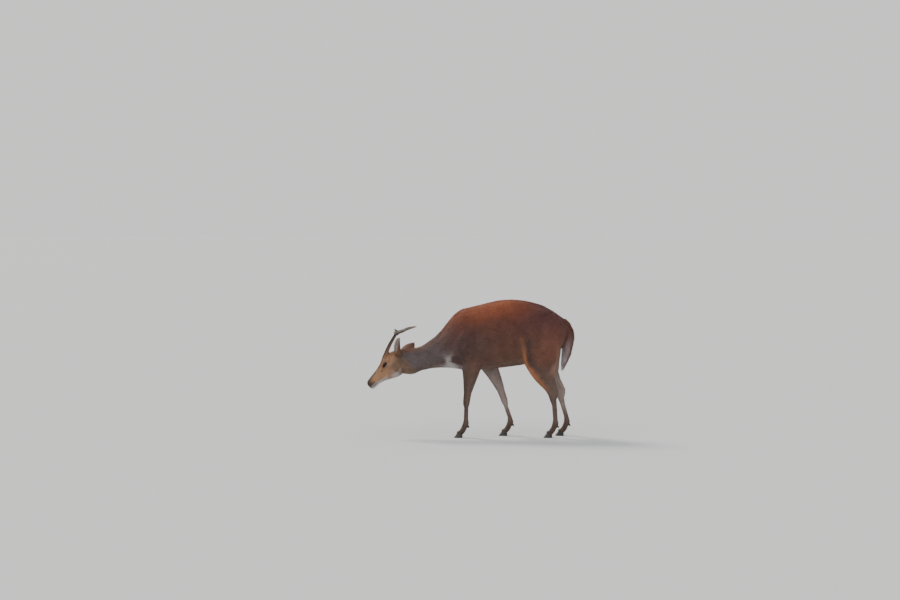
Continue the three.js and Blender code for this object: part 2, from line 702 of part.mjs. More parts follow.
// Assembly
const muntjac = new THREE.Group();
const headGroup = new THREE.Group();
const forward = new THREE.Vector3(-Math.cos(headPitch), 0, -Math.sin(headPitch));
const crown = new THREE.Vector3(-Math.sin(headPitch), 0, Math.cos(headPitch));
const leftward = new THREE.Vector3(0, -1, 0);
const headBasis = new THREE.Matrix4().makeBasis(forward, leftward, crown);
const headTurn = new THREE.Quaternion().setFromRotationMatrix(headBasis);
headGroup.position.copy(headPlace);
headGroup.quaternion.copy(headTurn);
muntjac.add(headGroup);

function addPiece(name, solid, finish, group = muntjac) {
  const geometry = geometryOf(solid);
  const mesh = new THREE.Mesh(geometry, finish);
  mesh.name = name;
  group.add(mesh);
}

const headMatrix = new THREE.Matrix4().compose(headPlace, headTurn, new THREE.Vector3(1, 1, 1));
const grownHead = headSolid(gap);
const grownNeck = moved(trunkSolid(gap), headMatrix.clone().invert());
addPiece('head', detailedHead(), finishes.faceBrown, headGroup);

for (const [sideName, sign] of [['left', 1], ['right', -1]]) {
  const antler = antlerPieces(sign);
  const pedicleOutside = largest(antler.pedicle.subtract(grownHead));
  addPiece(`pedicle_${sideName}`, pedicleOutside, finishes.blackStripe, headGroup);
  addPiece(`antler_beam_${sideName}`, antler.beam, finishes.antlerBone, headGroup);
  addPiece(`antler_brow_tine_${sideName}`, antler.tine, finishes.antlerBone, headGroup);
  addPiece(`eye_${sideName}`, eyeballSolid(sign, 0), finishes.eyeball, headGroup);
  const ear = earSolid(earPlacing(ears[sideName], headTurn)).subtract(grownHead).subtract(grownNeck);
  addPiece(`ear_${sideName}`, largest(ear), finishes.faceBrown, headGroup);
}

// The neck and the torso are one form, parted by a thin cut ahead of the shoulders
const topPoint = new THREE.Vector3(neckPlaneTop.x, 0, neckPlaneTop.z);
const footPoint = new THREE.Vector3(neckPlaneFoot.x, 0, neckPlaneFoot.z);
const partingNormal = topPoint.clone().sub(footPoint).cross(new THREE.Vector3(0, -1, 0)).normalize();
const partingOffset = partingNormal.dot(topPoint);
const trunk = trunkSolid(0);
const neck = trunk.trimByPlane(partingNormal.clone().negate().toArray(), -partingOffset + gap / 2);
addPiece('neck', largest(neck.subtract(moved(grownHead, headMatrix))), finishes.greyBrown);

let torso = trunk.trimByPlane(partingNormal.toArray(), partingOffset + gap / 2);
let tail = tailSolid().subtract(trunkSolid(gap));
for (const [name, leg] of Object.entries(legs)) {
  const fetlockX = leg.line.find(([z]) => z === fetlockZ)[1];
  const middleY = leg.sign * leg.form[0].side;
  const grownLeg = legSolid(leg, gap);
  torso = torso.subtract(grownLeg);
  tail = tail.subtract(grownLeg);
  const { normal, offset } = coronetPlane(fetlockX);
  const finish = name.startsWith('fore') ? finishes.greyBrown : finishes.darkChestnut;
  const bare = legSolid(leg, 0);
  addPiece(name, largest(bare.trimByPlane(normal, offset + gap / 2)), finish);
  const downwards = normal.map((value) => -value);
  for (const [clawName, sign] of [['outer', leg.sign], ['inner', -leg.sign]]) {
    const claw = clawSolid(fetlockX, middleY, sign).trimByPlane(downwards, -offset + gap / 2);
    addPiece(`hoof_${name}_${clawName}`, claw, finishes.hoofHorn);
    const small = largest(dewclawSolid(fetlockX, middleY, sign).subtract(grownLeg));
    addPiece(`dewclaw_${name}_${clawName}`, small, finishes.hoofHorn);
  }
}
addPiece('torso', largest(torso), finishes.chestnut);
addPiece('tail', largest(tail), finishes.darkChestnut);

// The origin is on the floor, under the middle of the whole animal
const reach = new THREE.Box3().setFromObject(muntjac, true);
muntjac.position.set(-(reach.min.x + reach.max.x) / 2, -(reach.min.y + reach.max.y) / 2, 0);

export default muntjac;
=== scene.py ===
# The muntjac as a still museum model: one skin, its coat, ears, eyes, antlers and hooves, made around the
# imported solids. Metres, Z up, head towards -X, the animal's left side towards -Y.
import math

import bmesh
import bpy
import numpy as np
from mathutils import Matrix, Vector
from mathutils.bvhtree import BVHTree


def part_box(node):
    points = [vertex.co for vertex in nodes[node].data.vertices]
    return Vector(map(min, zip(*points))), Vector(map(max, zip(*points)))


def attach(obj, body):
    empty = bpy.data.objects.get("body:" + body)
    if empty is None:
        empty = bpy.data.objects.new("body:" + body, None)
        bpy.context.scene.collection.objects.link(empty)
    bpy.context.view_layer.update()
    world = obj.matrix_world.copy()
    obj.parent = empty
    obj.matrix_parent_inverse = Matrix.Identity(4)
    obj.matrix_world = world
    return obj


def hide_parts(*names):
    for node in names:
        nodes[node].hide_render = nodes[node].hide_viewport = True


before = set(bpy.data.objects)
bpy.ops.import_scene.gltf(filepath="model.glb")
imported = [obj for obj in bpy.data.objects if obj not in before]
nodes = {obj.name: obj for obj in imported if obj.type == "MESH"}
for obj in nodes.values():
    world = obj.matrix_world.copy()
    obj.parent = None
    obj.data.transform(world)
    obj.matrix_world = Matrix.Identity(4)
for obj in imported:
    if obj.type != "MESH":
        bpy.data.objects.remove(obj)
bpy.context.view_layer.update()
legNames = ["foreleg_left", "foreleg_right", "hindleg_left", "hindleg_right"]
sides = {"left": 1.0, "right": -1.0}  # the sign of a side in the head's own frame


# small helpers

def smoothStep(low, high, value):
    t = np.clip((value - low) / (high - low), 0, 1)
    return t * t * (3 - 2 * t)


def hump(value, middle, reach):
    return np.exp(-(((value - middle) / reach) ** 2))


def unit(vectors):
    return vectors / np.maximum(np.linalg.norm(vectors, axis=-1, keepdims=True), 1e-12)


def lengths(vectors):
    return np.linalg.norm(vectors, axis=1)


def boxMiddle(name):
    low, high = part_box(name)
    return (np.array(low) + np.array(high)) / 2


def readRows(items, field, width, kind=np.float32):
    # one field of all points, edges, faces or corners, a row for each
    values = np.empty(len(items) * width, kind)
    items.foreach_get(field, values)
    return values.reshape(-1, width)


def placesOf(mesh):
    return readRows(mesh.vertices, "co", 3).astype(float)


def normalsOf(mesh):
    return readRows(mesh.vertex_normals, "vector", 3).astype(float)


def edgesOf(mesh):
    return readRows(mesh.edges, "vertices", 2, np.int32)


def setPlaces(mesh, places):
    mesh.vertices.foreach_set("co", places.astype(np.float32).ravel())
    mesh.update()


def spread(values, edges, weight, rounds):
    # each round draws every value towards the middle of its neighbours, by one weight or a weight for each
    count = len(values)
    weight = np.broadcast_to(weight, count)[:, None]
    degree = np.maximum(np.bincount(edges.ravel(), minlength=count), 1)[:, None]
    first, second = edges[:, 0], edges[:, 1]
    for _ in range(rounds):
        total = np.empty_like(values)
        for axis in range(values.shape[1]):
            total[:, axis] = np.bincount(first, values[second, axis], count)
            total[:, axis] += np.bincount(second, values[first, axis], count)
        values = values + weight * (total / degree - values)
    return values


def softNoise(points, scale, seed):
    # smooth random value from -1 to 1 at each point
    grid = points * scale + seed * 17.37
    cell = np.floor(grid).astype(np.int64)
    part = grid - cell
    part = part * part * (3 - 2 * part)
    total = np.zeros(len(points))
    for corner in range(8):
        step = np.array([corner & 1, corner >> 1 & 1, corner >> 2 & 1])
        at = cell + step
        code = at[:, 0] * 73856093 ^ at[:, 1] * 19349663 ^ at[:, 2] * 83492791 ^ seed * 2654435
        code = ((code ^ (code >> 13)) * 1274126177) & 0x7FFFFFFF
        weight = np.prod(np.where(step == 1, part, 1 - part), axis=1)
        total += weight * (code / 0x3FFFFFFF - 1)
    return total


def newObject(name, mesh):
    obj = bpy.data.objects.new(name, mesh)
    bpy.context.scene.collection.objects.link(obj)
    return obj


def newMesh(name, points, faces):
    mesh = bpy.data.meshes.new(name)
    mesh.from_pydata([tuple(p) for p in points], [], [tuple(f) for f in faces])
    mesh.update()
    return mesh


def smoothShaded(mesh):
    mesh.polygons.foreach_set("use_smooth", [True] * len(mesh.polygons))
    mesh.update()
    return mesh


def searchTree(mesh):
    return BVHTree.FromPolygons([v.co for v in mesh.vertices], [p.vertices for p in mesh.polygons])


def finishPiece(name, mesh, replaced=(), material=None):
    # a piece of the model: its material, the body it rides on and the solids it stands for, which are hidden
    if material:
        mesh.materials.clear()
        mesh.materials.append(material)
    piece = newObject(name, mesh)
    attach(piece, "root")
    if replaced:
        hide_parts(*replaced)
    return piece


def plainMesh(obj, name):
    # the object's mesh with its modifiers applied, and the object itself removed
    graph = bpy.context.evaluated_depsgraph_get()
    mesh = bpy.data.meshes.new_from_object(obj.evaluated_get(graph), depsgraph=graph)
    mesh.name = name
    bpy.data.objects.remove(obj)
    return mesh


def remeshed(mesh, name, voxel):
    obj = newObject(name, mesh)
    remesh = obj.modifiers.new("voxels", "REMESH")
    remesh.mode = "VOXEL"
    remesh.voxel_size = voxel
    remesh.use_smooth_shade = True
    return plainMesh(obj, name)


def nodeShape(name, grow=0.0):
    # a merged copy of a solid's points and faces, pushed out a little along its normals
    form = bmesh.new()
    form.from_mesh(nodes[name].data)
    bmesh.ops.remove_doubles(form, verts=form.verts, dist=1e-5)
    form.normal_update()
    points = np.array([v.co + v.normal * grow for v in form.verts])
    faces = [[v.index for v in f.verts] for f in form.faces]
    form.free()
    return points, faces


def joinShapes(shapes):
    points, faces, count = [], [], 0
    for shapePoints, shapeFaces in shapes:
        points.append(shapePoints)
        faces += [[i + count for i in face] for face in shapeFaces]
        count += len(shapePoints)
    return np.concatenate(points), faces


def smoothPath(points, count):
    # a smooth line through the points, evenly spaced along its length
    points = np.array(points, float)
    ends = np.vstack([2 * points[0] - points[1], points, 2 * points[-1] - points[-2]])
    fine = []
    for i in range(len(points) - 1):
        a, b, c, d = ends[i : i + 4]
        t = np.linspace(0, 1, 24, endpoint=False)[:, None]
        bend, twist = 2 * a - 5 * b + 4 * c - d, 3 * b - a - 3 * c + d
        fine.append(0.5 * (2 * b + (c - a) * t + bend * t**2 + twist * t**3))
    fine = np.vstack(fine + [points[-1:]])
    length = np.concatenate([[0], np.cumsum(lengths(np.diff(fine, axis=0)))])
    at = np.linspace(0, length[-1], count)
    return np.stack([np.interp(at, length, fine[:, axis]) for axis in range(3)], axis=1)


def pathFrames(path, first):
    # two directions across the path at each of its points, turned as little as possible
    ways = unit(np.gradient(path, axis=0))
    across, side = [], np.array(first, float)
    for way in ways:
        side = side - way * np.dot(side, way)
        side = side / np.linalg.norm(side)
        across.append(side)
    across = np.array(across)
    return across, np.cross(ways, across)


def ringFaces(rings, count):
    # the four-cornered faces between rings of points
    faces = []
    for i in range(rings - 1):
        a, b = i * count, (i + 1) * count
        faces += [[a + k, a + (k + 1) % count, b + (k + 1) % count, b + k] for k in range(count)]
    return faces


def tubeShape(path, radiusAt, count, first=(0, 1, 0)):
    # a closed tube along a path, whose radius is a function of the way along and the angle round
    across, out = pathFrames(path, first)
    steps = len(path)
    u, angle = np.meshgrid(np.linspace(0, 1, steps), np.linspace(0, 2 * math.pi, count, False), indexing="ij")
    radius = radiusAt(u, angle)
    wide, high = radius if isinstance(radius, tuple) else (radius, radius)
    points = path[:, None] + across[:, None] * (wide * np.cos(angle))[..., None]
    points = points + out[:, None] * (high * np.sin(angle))[..., None]
    faces = ringFaces(steps, count)
    points = np.vstack([points.reshape(-1, 3), path[:1], path[-1:]])
    start, end = steps * count, steps * count + 1
    for k in range(count):
        n = (k + 1) % count
        faces.append([start, n, k])
        faces.append([end, (steps - 1) * count + k, (steps - 1) * count + n])
    return points, faces


# where things are: the head's own frame, the trunk's lines and the legs' lines, all from the frame

headSizes = {
    "pitch": math.radians(42),
    "eye": (0.077, 0.029, 0.028),
    "eyeRadius": 0.013,
}
headForward = np.array([-math.cos(headSizes["pitch"]), 0.0, -math.sin(headSizes["pitch"])])
headLeft = np.array([0.0, -1.0, 0.0])
headCrown = np.array([-math.sin(headSizes["pitch"]), 0.0, math.cos(headSizes["pitch"])])
headAxes = np.array([headForward, headLeft, headCrown])
eyeMiddle = (boxMiddle("eye_left") + boxMiddle("eye_right")) / 2
headPlace = eyeMiddle - headForward * headSizes["eye"][0] - headCrown * headSizes["eye"][2]


def inHead(points):
    return (points - headPlace) @ headAxes.T


def fromHead(points):
    return np.array(points) @ headAxes + headPlace


def headSpot(place, sign):
    # a place of the head's own frame, on the side with the given sign, in the animal's frame
    return fromHead([np.array(place) * [1, sign, 1]])[0]


def legLine(name):
    # height, middle and half sizes of each level ring of a leg
    points = np.unique(np.round(placesOf(nodes[name].data), 4), axis=0)
    rings = []
    for z in np.unique(points[:, 2]):
        ring = points[points[:, 2] == z]
        if len(ring) >= 12:
            low, high = ring.min(0), ring.max(0)
            rings.append([z, *((low + high) / 2)[:2], *((high - low) / 2)[:2]])
    return np.array(rings).T


legLines = {name: legLine(name) for name in legNames}


trunkReach = {"start": -0.32, "end": 0.43, "step": 0.01, "near": 0.02, "middle": 0.0004}


def trunkLine():
    # upper and lower height of neck and torso at each x, read near the middle plane
    points = np.vstack([placesOf(nodes[name].data) for name in ("neck", "torso")])
    middle = points[np.abs(points[:, 1]) < trunkReach["middle"]]
    lines = []
    for x in np.arange(trunkReach["start"], trunkReach["end"], trunkReach["step"]):
        near = middle[np.abs(middle[:, 0] - x) < trunkReach["near"]]
        lines.append([x, near[:, 2].max(), near[:, 2].min()])
    return np.array(lines).T


trunkX, trunkTop, trunkBottom = trunkLine()
tailLow, tailHigh = (np.array(corner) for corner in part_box("tail"))
tailSizes = {
    "line": [(-0.048, 0.027), (-0.018, 0.002), (-0.001, -0.036), (-0.003, -0.082), (-0.008, -0.12),
             (-0.018, -0.157), (-0.028, -0.194), (-0.032, -0.223)],  # x and z from its rearmost line and top
    "rearInset": 0.0250,
    "coreWide": 0.0238,
    "coreTip": 0.0075,
    "coreFlat": 0.74,
    "coreShare": 0.90,
    "points": 40,
    "rootPoints": 6,
    "reach": (0.028, 0.038),
    "halfWidth": 0.03,
    "hairTop": 0.012,
}


def tailPath(count):
    top = np.array([tailHigh[0] - tailSizes["rearInset"], 0.0, tailHigh[2]])
    return smoothPath([top + np.array([x, 0, z]) for x, z in tailSizes["line"]], count)


def legPlace(points, name):
    # how far back and how far aside each point is from a leg's middle line, as shares of the leg's half sizes
    z, x, y, depth, half = legLines[name]
    at = points[:, 2]
    back = (points[:, 0] - np.interp(at, z, x)) / np.interp(at, z, depth)
    aside = (points[:, 1] - np.interp(at, z, y)) / np.interp(at, z, half)
    return back, aside


def legNearness(points, name):
    # 1 on the leg's own outline, and less round the wide foot
    onFoot = 1 - 0.55 * (1 - smoothStep(0.04, 0.1, points[:, 2]))
    return np.hypot(*legPlace(points, name)) * onFoot


legTops = {"fore": (0.26, 0.36), "hind": (0.29, 0.39)}  # the heights over which a leg becomes trunk


def legShare(points):
    # how much of each place belongs to the free part of a leg
    share = np.zeros(len(points))
    for name in legNames:
        near = 1 - smoothStep(1.15, 1.7, legNearness(points, name))
        share = np.maximum(share, near * (1 - smoothStep(*legTops[name[:4]], points[:, 2])))
    return share


ribPath = [(0.066, 0.019, 0.050), (0.084, 0.0162, 0.0435), (0.100, 0.0128, 0.0375), (0.116, 0.0098, 0.0325)]
ribRadii = (0.0098, 0.0036)
pedicleEnds = {"foot": (0.066, 0.019, 0.050), "top": (-0.051, 0.037, 0.097), "topRadius": 0.0074}


def alongPedicle(points):
    # the way up the nearer pedicle, from 0 to 1, and the distance from its middle line
    local = inHead(points)
    local[:, 1] = np.abs(local[:, 1])
    foot, top = np.array(pedicleEnds["foot"]), np.array(pedicleEnds["top"])
    t = np.clip((local - foot) @ (top - foot) / np.dot(top - foot, top - foot), 0, 1.1)
    return t, lengths(local - foot - t[:, None] * (top - foot))


def pedicleShare(points):
    return 1 - smoothStep(0.014, 0.02, alongPedicle(points)[1])


def headShare(points):
    # 1 on the head and the pedicles, and it fades over the start of the neck
    x, y, z = inHead(points).T
    close = (np.abs(z - 0.02) < 0.13) & (np.abs(y) < 0.12)
    return np.maximum(np.where(close, smoothStep(-0.03, 0.012, x), 0.0), pedicleShare(points))


def tailShare(points):
    path = tailPath(tailSizes["points"])[None, tailSizes["rootPoints"] :, ::2]
    away = np.min(np.linalg.norm(points[:, None, ::2] - path, axis=2), axis=1)
    return (1 - smoothStep(*tailSizes["reach"], away)) * (np.abs(points[:, 1]) < tailSizes["halfWidth"])


# the skin: the flesh solids joined, smoothed, set in by the coat's depth, then given its finer forms

skinSizes = {
    "voxel": 0.0024,
    "overlap": 0.0006,
    "cover": 0.001,
    "trunkRounds": 80,
    "legRounds": 5,
    "headRounds": 3,
    "depthTrunk": 0.0048,
    "depthLeg": 0.0019,
    "depthHead": 0.0013,
    "smoothing": 0.5,
    "swelling": -0.22,
    "triangles": 194000,
    "legShare": 0.55,
    "fineMarks": [(0.236, 0.395, 0.036, 0.065), (-0.092, 0.332, 0.055, 0.032)],
    "fineShare": 0.12,
}  # fineMarks: x, z and reaches of places whose markings need close points
footForms = {
    "coronet": {"offset": (0.0075, 0.0, 0.0), "height": 0.0235, "radii": (0.0165, 0.0108, 0.0092)},
    "dewclawRoot": (0.0085, 0.0062),
}
browRidge = {"middle": (0.070, 0.0195, 0.0315), "radii": (0.034, 0.0185, 0.0150)}
fleshNodes = ["head", "neck", "torso", *legNames, "pedicle_left", "pedicle_right"]


def sphereShape(middle, radius, count):
    path = np.array([middle + np.array([0, 0, radius * math.cos(a)]) for a in np.linspace(math.pi, 0, count)])
    return tubeShape(path, lambda u, angle: radius * np.sin(math.pi * u) + 1e-5, count, (1, 0, 0))


def ovalShape(middle, radii, axes, count):
    # an egg with its three half sizes along the given axes
    points, faces = sphereShape(np.zeros(3), 1.0, count)
    return (points * radii) @ axes + middle, faces


def footFillers():
    # flesh over the top of each hoof and round the root of each dewclaw
    shapes = []
    for name in nodes:
        if name.startswith("hoof_"):
            middle = boxMiddle(name) + np.array(footForms["coronet"]["offset"])
            middle[2] = footForms["coronet"]["height"]
            shapes.append(ovalShape(middle, footForms["coronet"]["radii"], np.eye(3), 14))
        if name.startswith("dewclaw_"):
            leg = next(leg for leg in legNames if leg in name)
            claw = boxMiddle(name)
            z, x, y = legLines[leg][:3]
            shin = np.array([np.interp(claw[2], z, x), np.interp(claw[2], z, y), claw[2]])
            start = shin + (claw - shin) * 0.45 + np.array([0, 0, 0.003])
            root = smoothPath([start, start + (claw - start) * 0.5, claw + (start - claw) * 0.12], 8)
            first, last = footForms["dewclawRoot"]
            shapes.append(tubeShape(root, lambda u, angle: first + (last - first) * u, 12, (0, 0, 1)))
    return shapes


def tailCore():
    path = tailPath(tailSizes["points"])[: int(tailSizes["points"] * tailSizes["coreShare"])]

    def radiusAt(u, angle):
        full = smoothStep(-0.25, 0.22, u) * (1 - u**3)
        radius = tailSizes["coreTip"] + (tailSizes["coreWide"] - tailSizes["coreTip"]) * full
        return radius * tailSizes["coreFlat"], radius

    return tubeShape(path, radiusAt, 24)


def keepLargest(mesh):
    # deletes all but the body with the most points
    form = bmesh.new()
    form.from_mesh(mesh)
    seen, best = set(), []
    for start in form.verts:
        if start in seen:
            continue
        seen.add(start)
        found, front = [], [start]
        while front:
            vert = front.pop()
            found.append(vert)
            for edge in vert.link_edges:
                other = edge.other_vert(vert)
                if other not in seen:
                    seen.add(other)
                    front.append(other)
        if len(found) > len(best):
            best = found
    keep = set(best)
    bmesh.ops.delete(form, geom=[v for v in form.verts if v not in keep], context="VERTS")
    form.to_mesh(mesh)
    form.free()


def refine(form, wanted):
    # cuts every edge of the wanted faces once
    edges = {edge for face in form.faces if wanted[face.index] for edge in face.edges}
    bmesh.ops.subdivide_edges(form, edges=list(edges), cuts=1, use_grid_fill=True)
    form.faces.ensure_lookup_table()
    form.verts.index_update()
    form.faces.index_update()


def faceMiddles(form):
    return np.array([face.calc_center_median() for face in form.faces])


def roughSkin():
    shapes = [nodeShape(name, skinSizes["overlap"]) for name in fleshNodes]
    shapes.append(tailCore())
    shapes += footFillers()
    cover = skinSizes["cover"]
    for sign in sides.values():
        shapes.append(sphereShape(headSpot(headSizes["eye"], sign), headSizes["eyeRadius"] + cover, 20))
        shapes.append(ovalShape(headSpot(browRidge["middle"], sign), browRidge["radii"], headAxes, 24))
        rib = smoothPath(fromHead(np.array(ribPath) * [1, sign, 1]), 14)
        shapes.append(tubeShape(rib, lambda u, angle: ribRadii[0] + (ribRadii[1] - ribRadii[0]) * u, 16))
        shapes.append(sphereShape(headSpot(pedicleEnds["top"], sign), pedicleEnds["topRadius"] + cover, 16))
    mesh = remeshed(newMesh("rough", *joinShapes(shapes)), "rough", skinSizes["voxel"])
    keepLargest(mesh)
    print(f"skin: {len(mesh.polygons)} faces after the solids are joined")
    return mesh


def smoothedSkin(mesh):
    places, edges = placesOf(mesh), edgesOf(mesh)
    head, leg = headShare(places), legShare(places)
    tail = tailShare(places)
    body = (1 - head) * (1 - leg) * (1 - tail)
    for rounds, share in (
        (skinSizes["headRounds"], np.ones(len(places))),
        (skinSizes["legRounds"] - skinSizes["headRounds"], 1 - head),
        (skinSizes["trunkRounds"] - skinSizes["legRounds"], body),
    ):
        places = spread(places, edges, skinSizes["smoothing"] * share, rounds)
        places = spread(places, edges, skinSizes["swelling"] * share * (1 - 0.6 * body), rounds)
    setPlaces(mesh, places)
    normals = unit(spread(normalsOf(mesh), edges, 0.5, 4))
    depth = skinSizes["depthTrunk"] * body + skinSizes["depthLeg"] * leg * (1 - head)
    depth += skinSizes["depthHead"] * head
    depth = spread(depth[:, None], edges, 0.5, 10)[:, 0]
    setPlaces(mesh, places - normals * (depth + skinSizes["overlap"])[:, None])
    return mesh


# the animal's low relief: muscles, bones and folds under the coat. Each row is x, z, the reach along and
# across, the height, all in millimetres, and how far its long side is turned, in degrees
bodyRelief = {
    "left": [
        (-20, 430, 75, 22, 3.0, 62), (40, 400, 60, 30, 2.6, 55), (18, 350, 40, 12, -2.6, 20),
        (250, 470, 60, 26, -3.0, 70), (300, 560, 34, 18, 3.0, -20), (372, 430, 70, 24, 3.2, 78),
        (322, 300, 40, 14, 2.4, 50), (262, 372, 46, 12, -3.2, 62), (120, 470, 90, 60, 2.0, 0),
    ],
    "right": [
        (0, 430, 75, 22, 3.0, 62), (60, 400, 60, 30, 2.6, 55), (40, 350, 40, 12, -2.6, 20),
        (250, 470, 60, 26, -3.0, 70), (300, 560, 34, 18, 3.0, -20), (372, 430, 70, 24, 3.2, 78),
        (330, 300, 40, 14, 2.4, 50), (270, 372, 46, 12, -3.2, 62), (120, 470, 90, 60, 2.0, 0),
    ],
}
legRelief = {
    "fore": [(0.152, 0.011, "front", 1.1), (0.165, 0.016, "side", 0.7), (0.063, 0.010, "side", 0.9)],
    "hind": [(0.196, 0.012, "back", 1.6), (0.175, 0.018, "side", 1.0), (0.063, 0.010, "side", 0.9)],
}
tendonGroove = {"fore": (0.075, 0.138), "hind": (0.078, 0.168), "fade": 0.012, "depth": 0.0013, "place": 0.35}
achilles = {"low": (0.205, 0.225), "high": (0.24, 0.262), "depth": 0.0042, "place": 0.30}
rumpCorner = {
    "x": (0.34, 0.425),
    "aside": (0.040, 0.090),
    "low": (0.29, 0.36),
    "high": (0.52, 0.58),
    "depth": 0.011,
}


def relievedBody(mesh):
    places, normals = placesOf(mesh), normalsOf(mesh)
    push = np.zeros(len(places))
    free = 1 - headShare(places)
    for side, spots in bodyRelief.items():
        onSide = smoothStep(0.2, 0.6, normals[:, 1] * (-1 if side == "left" else 1)) * free
        for x, z, along, across, out, turn in spots:
            dx, dz = places[:, 0] - x / 1000, places[:, 2] - z / 1000
            c, s = math.cos(math.radians(turn)), math.sin(math.radians(turn))
            form = onSide * out / 1000 * hump(c * dx + s * dz, 0, along / 1000)
            push += form * hump(c * dz - s * dx, 0, across / 1000)
    at, aside = places[:, 2], np.abs(normals[:, 1])
    for name in legNames:
        kind = name[:4]
        near = (legNearness(places, name) < 1.25) & (at < 0.3)
        back = legPlace(places, name)[0]
        for height, reach, way, out in legRelief[kind]:
            facing = {"front": -normals[:, 0], "back": normals[:, 0], "side": aside}[way]
            push += near * np.clip(facing, 0, 1) ** 2 * out / 1000 * hump(at, height, reach)
        (low, high), fade = tendonGroove[kind], tendonGroove["fade"]
        along = smoothStep(low, low + fade, at) * (1 - smoothStep(high - fade, high, at))
        push -= near * tendonGroove["depth"] * along * (hump(back, tendonGroove["place"], 0.22) * aside**2)
        if kind == "hind":
            along = smoothStep(*achilles["low"], at) * (1 - smoothStep(*achilles["high"], at))
            push -= near * achilles["depth"] * along * hump(back, achilles["place"], 0.2) * aside**2
    rounded = smoothStep(*rumpCorner["x"], places[:, 0])
    rounded = rounded * smoothStep(*rumpCorner["aside"], np.abs(places[:, 1]))
    rounded = rounded * smoothStep(*rumpCorner["low"], at) * (1 - smoothStep(*rumpCorner["high"], at))
    push -= rumpCorner["depth"] * rounded
    setPlaces(mesh, places + normals * push[:, None])
    return mesh


# the face, in the head's frame and in metres: X forward from the poll, Y to the side, Z to the forehead

lidSizes = {
    "front": 0.0125,
    "back": 0.0105,
    "upper": 0.0071,
    "lower": 0.0058,
    "roundness": 1.75,
    "tilt": math.radians(-14),
    "behind": -0.0024,
    "margin": 0.0013,
    "bulge": 0.0022,
    "crease": 0.0062,
    "creaseDepth": 0.0011,
    "end": 0.0115,
}
mouthLine = {"corner": (0.150, -0.0092), "front": (0.206, -0.0045), "sag": 0.0026}
muzzleForms = {  # lips: height, place and reach of the groove and of each lip
    "lips": [(-0.0019, 0.0, 0.0011), (0.0011, 0.0026, 0.0019), (0.0006, -0.0026, 0.0018)],
    "nostril": (0.1925, 0.0098, 0.0090),
    "nostrilDepth": 0.0058,
    "nostrilRim": 0.0012,
    "philtrum": 0.0009,
    "padStart": 0.1845,
    "padHalf": 0.0125,
    "padHeight": 0.0006,
}
faceGland = {
    "place": (0.1035, 0.0165),
    "length": 0.0095,
    "width": 0.0019,
    "depth": 0.0038,
    "rim": 0.0014,
    "rimLength": 0.009,
    "rimWidth": 0.002,
    "rimAway": 0.0034,
}
browSlit = {"foot": (0.118, 0.0062), "top": (0.082, 0.0118), "width": 0.0010, "depth": 0.0012}
faceForms = [(0.0011, 0.072, 0.026, 0.007, 0.004), (0.0014, 0.034, 0.02, -0.030, 0.012),
             (-0.0010, 0.112, 0.02, -0.004, 0.006)]  # cheek bone, jaw and cheek: height, x, reach, z, reach
mouthFolds = {"places": (0.1465, 0.1425), "depth": 0.0006, "width": 0.0009, "length": 0.005}


def lidDistance(local, sign):
    # distance outside the edge of the lids, seen from the eyeball's middle, and the radius there
    eye = np.array(headSizes["eye"]) * [1, sign, 1]
    away = local - eye
    radius = lengths(away)
    way = away / np.maximum(radius, 1e-9)[:, None]
    c, s = math.cos(lidSizes["tilt"]), math.sin(lidSizes["tilt"])
    ball = headSizes["eyeRadius"]
    u = ball * (c * way[:, 0] + s * way[:, 2])
    v = ball * (c * way[:, 2] - s * way[:, 0])
    length = np.where(u > 0, lidSizes["front"], lidSizes["back"])
    height = np.where(v > 0, lidSizes["upper"], lidSizes["lower"])
    power = lidSizes["roundness"]
    q = ((np.abs(u) / length) ** power + (np.abs(v) / height) ** power) ** (1 / power)
    reach = np.hypot(u, v)
    outside = reach * (1 - 1 / np.maximum(q, 1e-6))
    outside = np.where(way[:, 1] * sign > -0.1, outside, 1.0)
    return outside, radius, way, eye, v


def mouthHeight(x):
    (x0, z0), (x1, z1) = mouthLine["corner"], mouthLine["front"]
    t = np.clip((x - x0) / (x1 - x0), 0, 1)
    return z0 + (z1 - z0) * t - mouthLine["sag"] * 4 * t * (1 - t)


def nosePad(local):
    # 1 on the bare nose pad, 0 on the hair round it
    x, y, z = local.T
    fromFront = x - muzzleForms["padStart"] - 0.0045 * hump(y, 0, 0.007)
    side = 1 - smoothStep(muzzleForms["padHalf"], muzzleForms["padHalf"] + 0.003, np.abs(y))
    above = smoothStep(mouthHeight(x) + 0.0035, mouthHeight(x) + 0.0055, z)
    return smoothStep(-0.0012, 0.0012, fromFront) * side * above


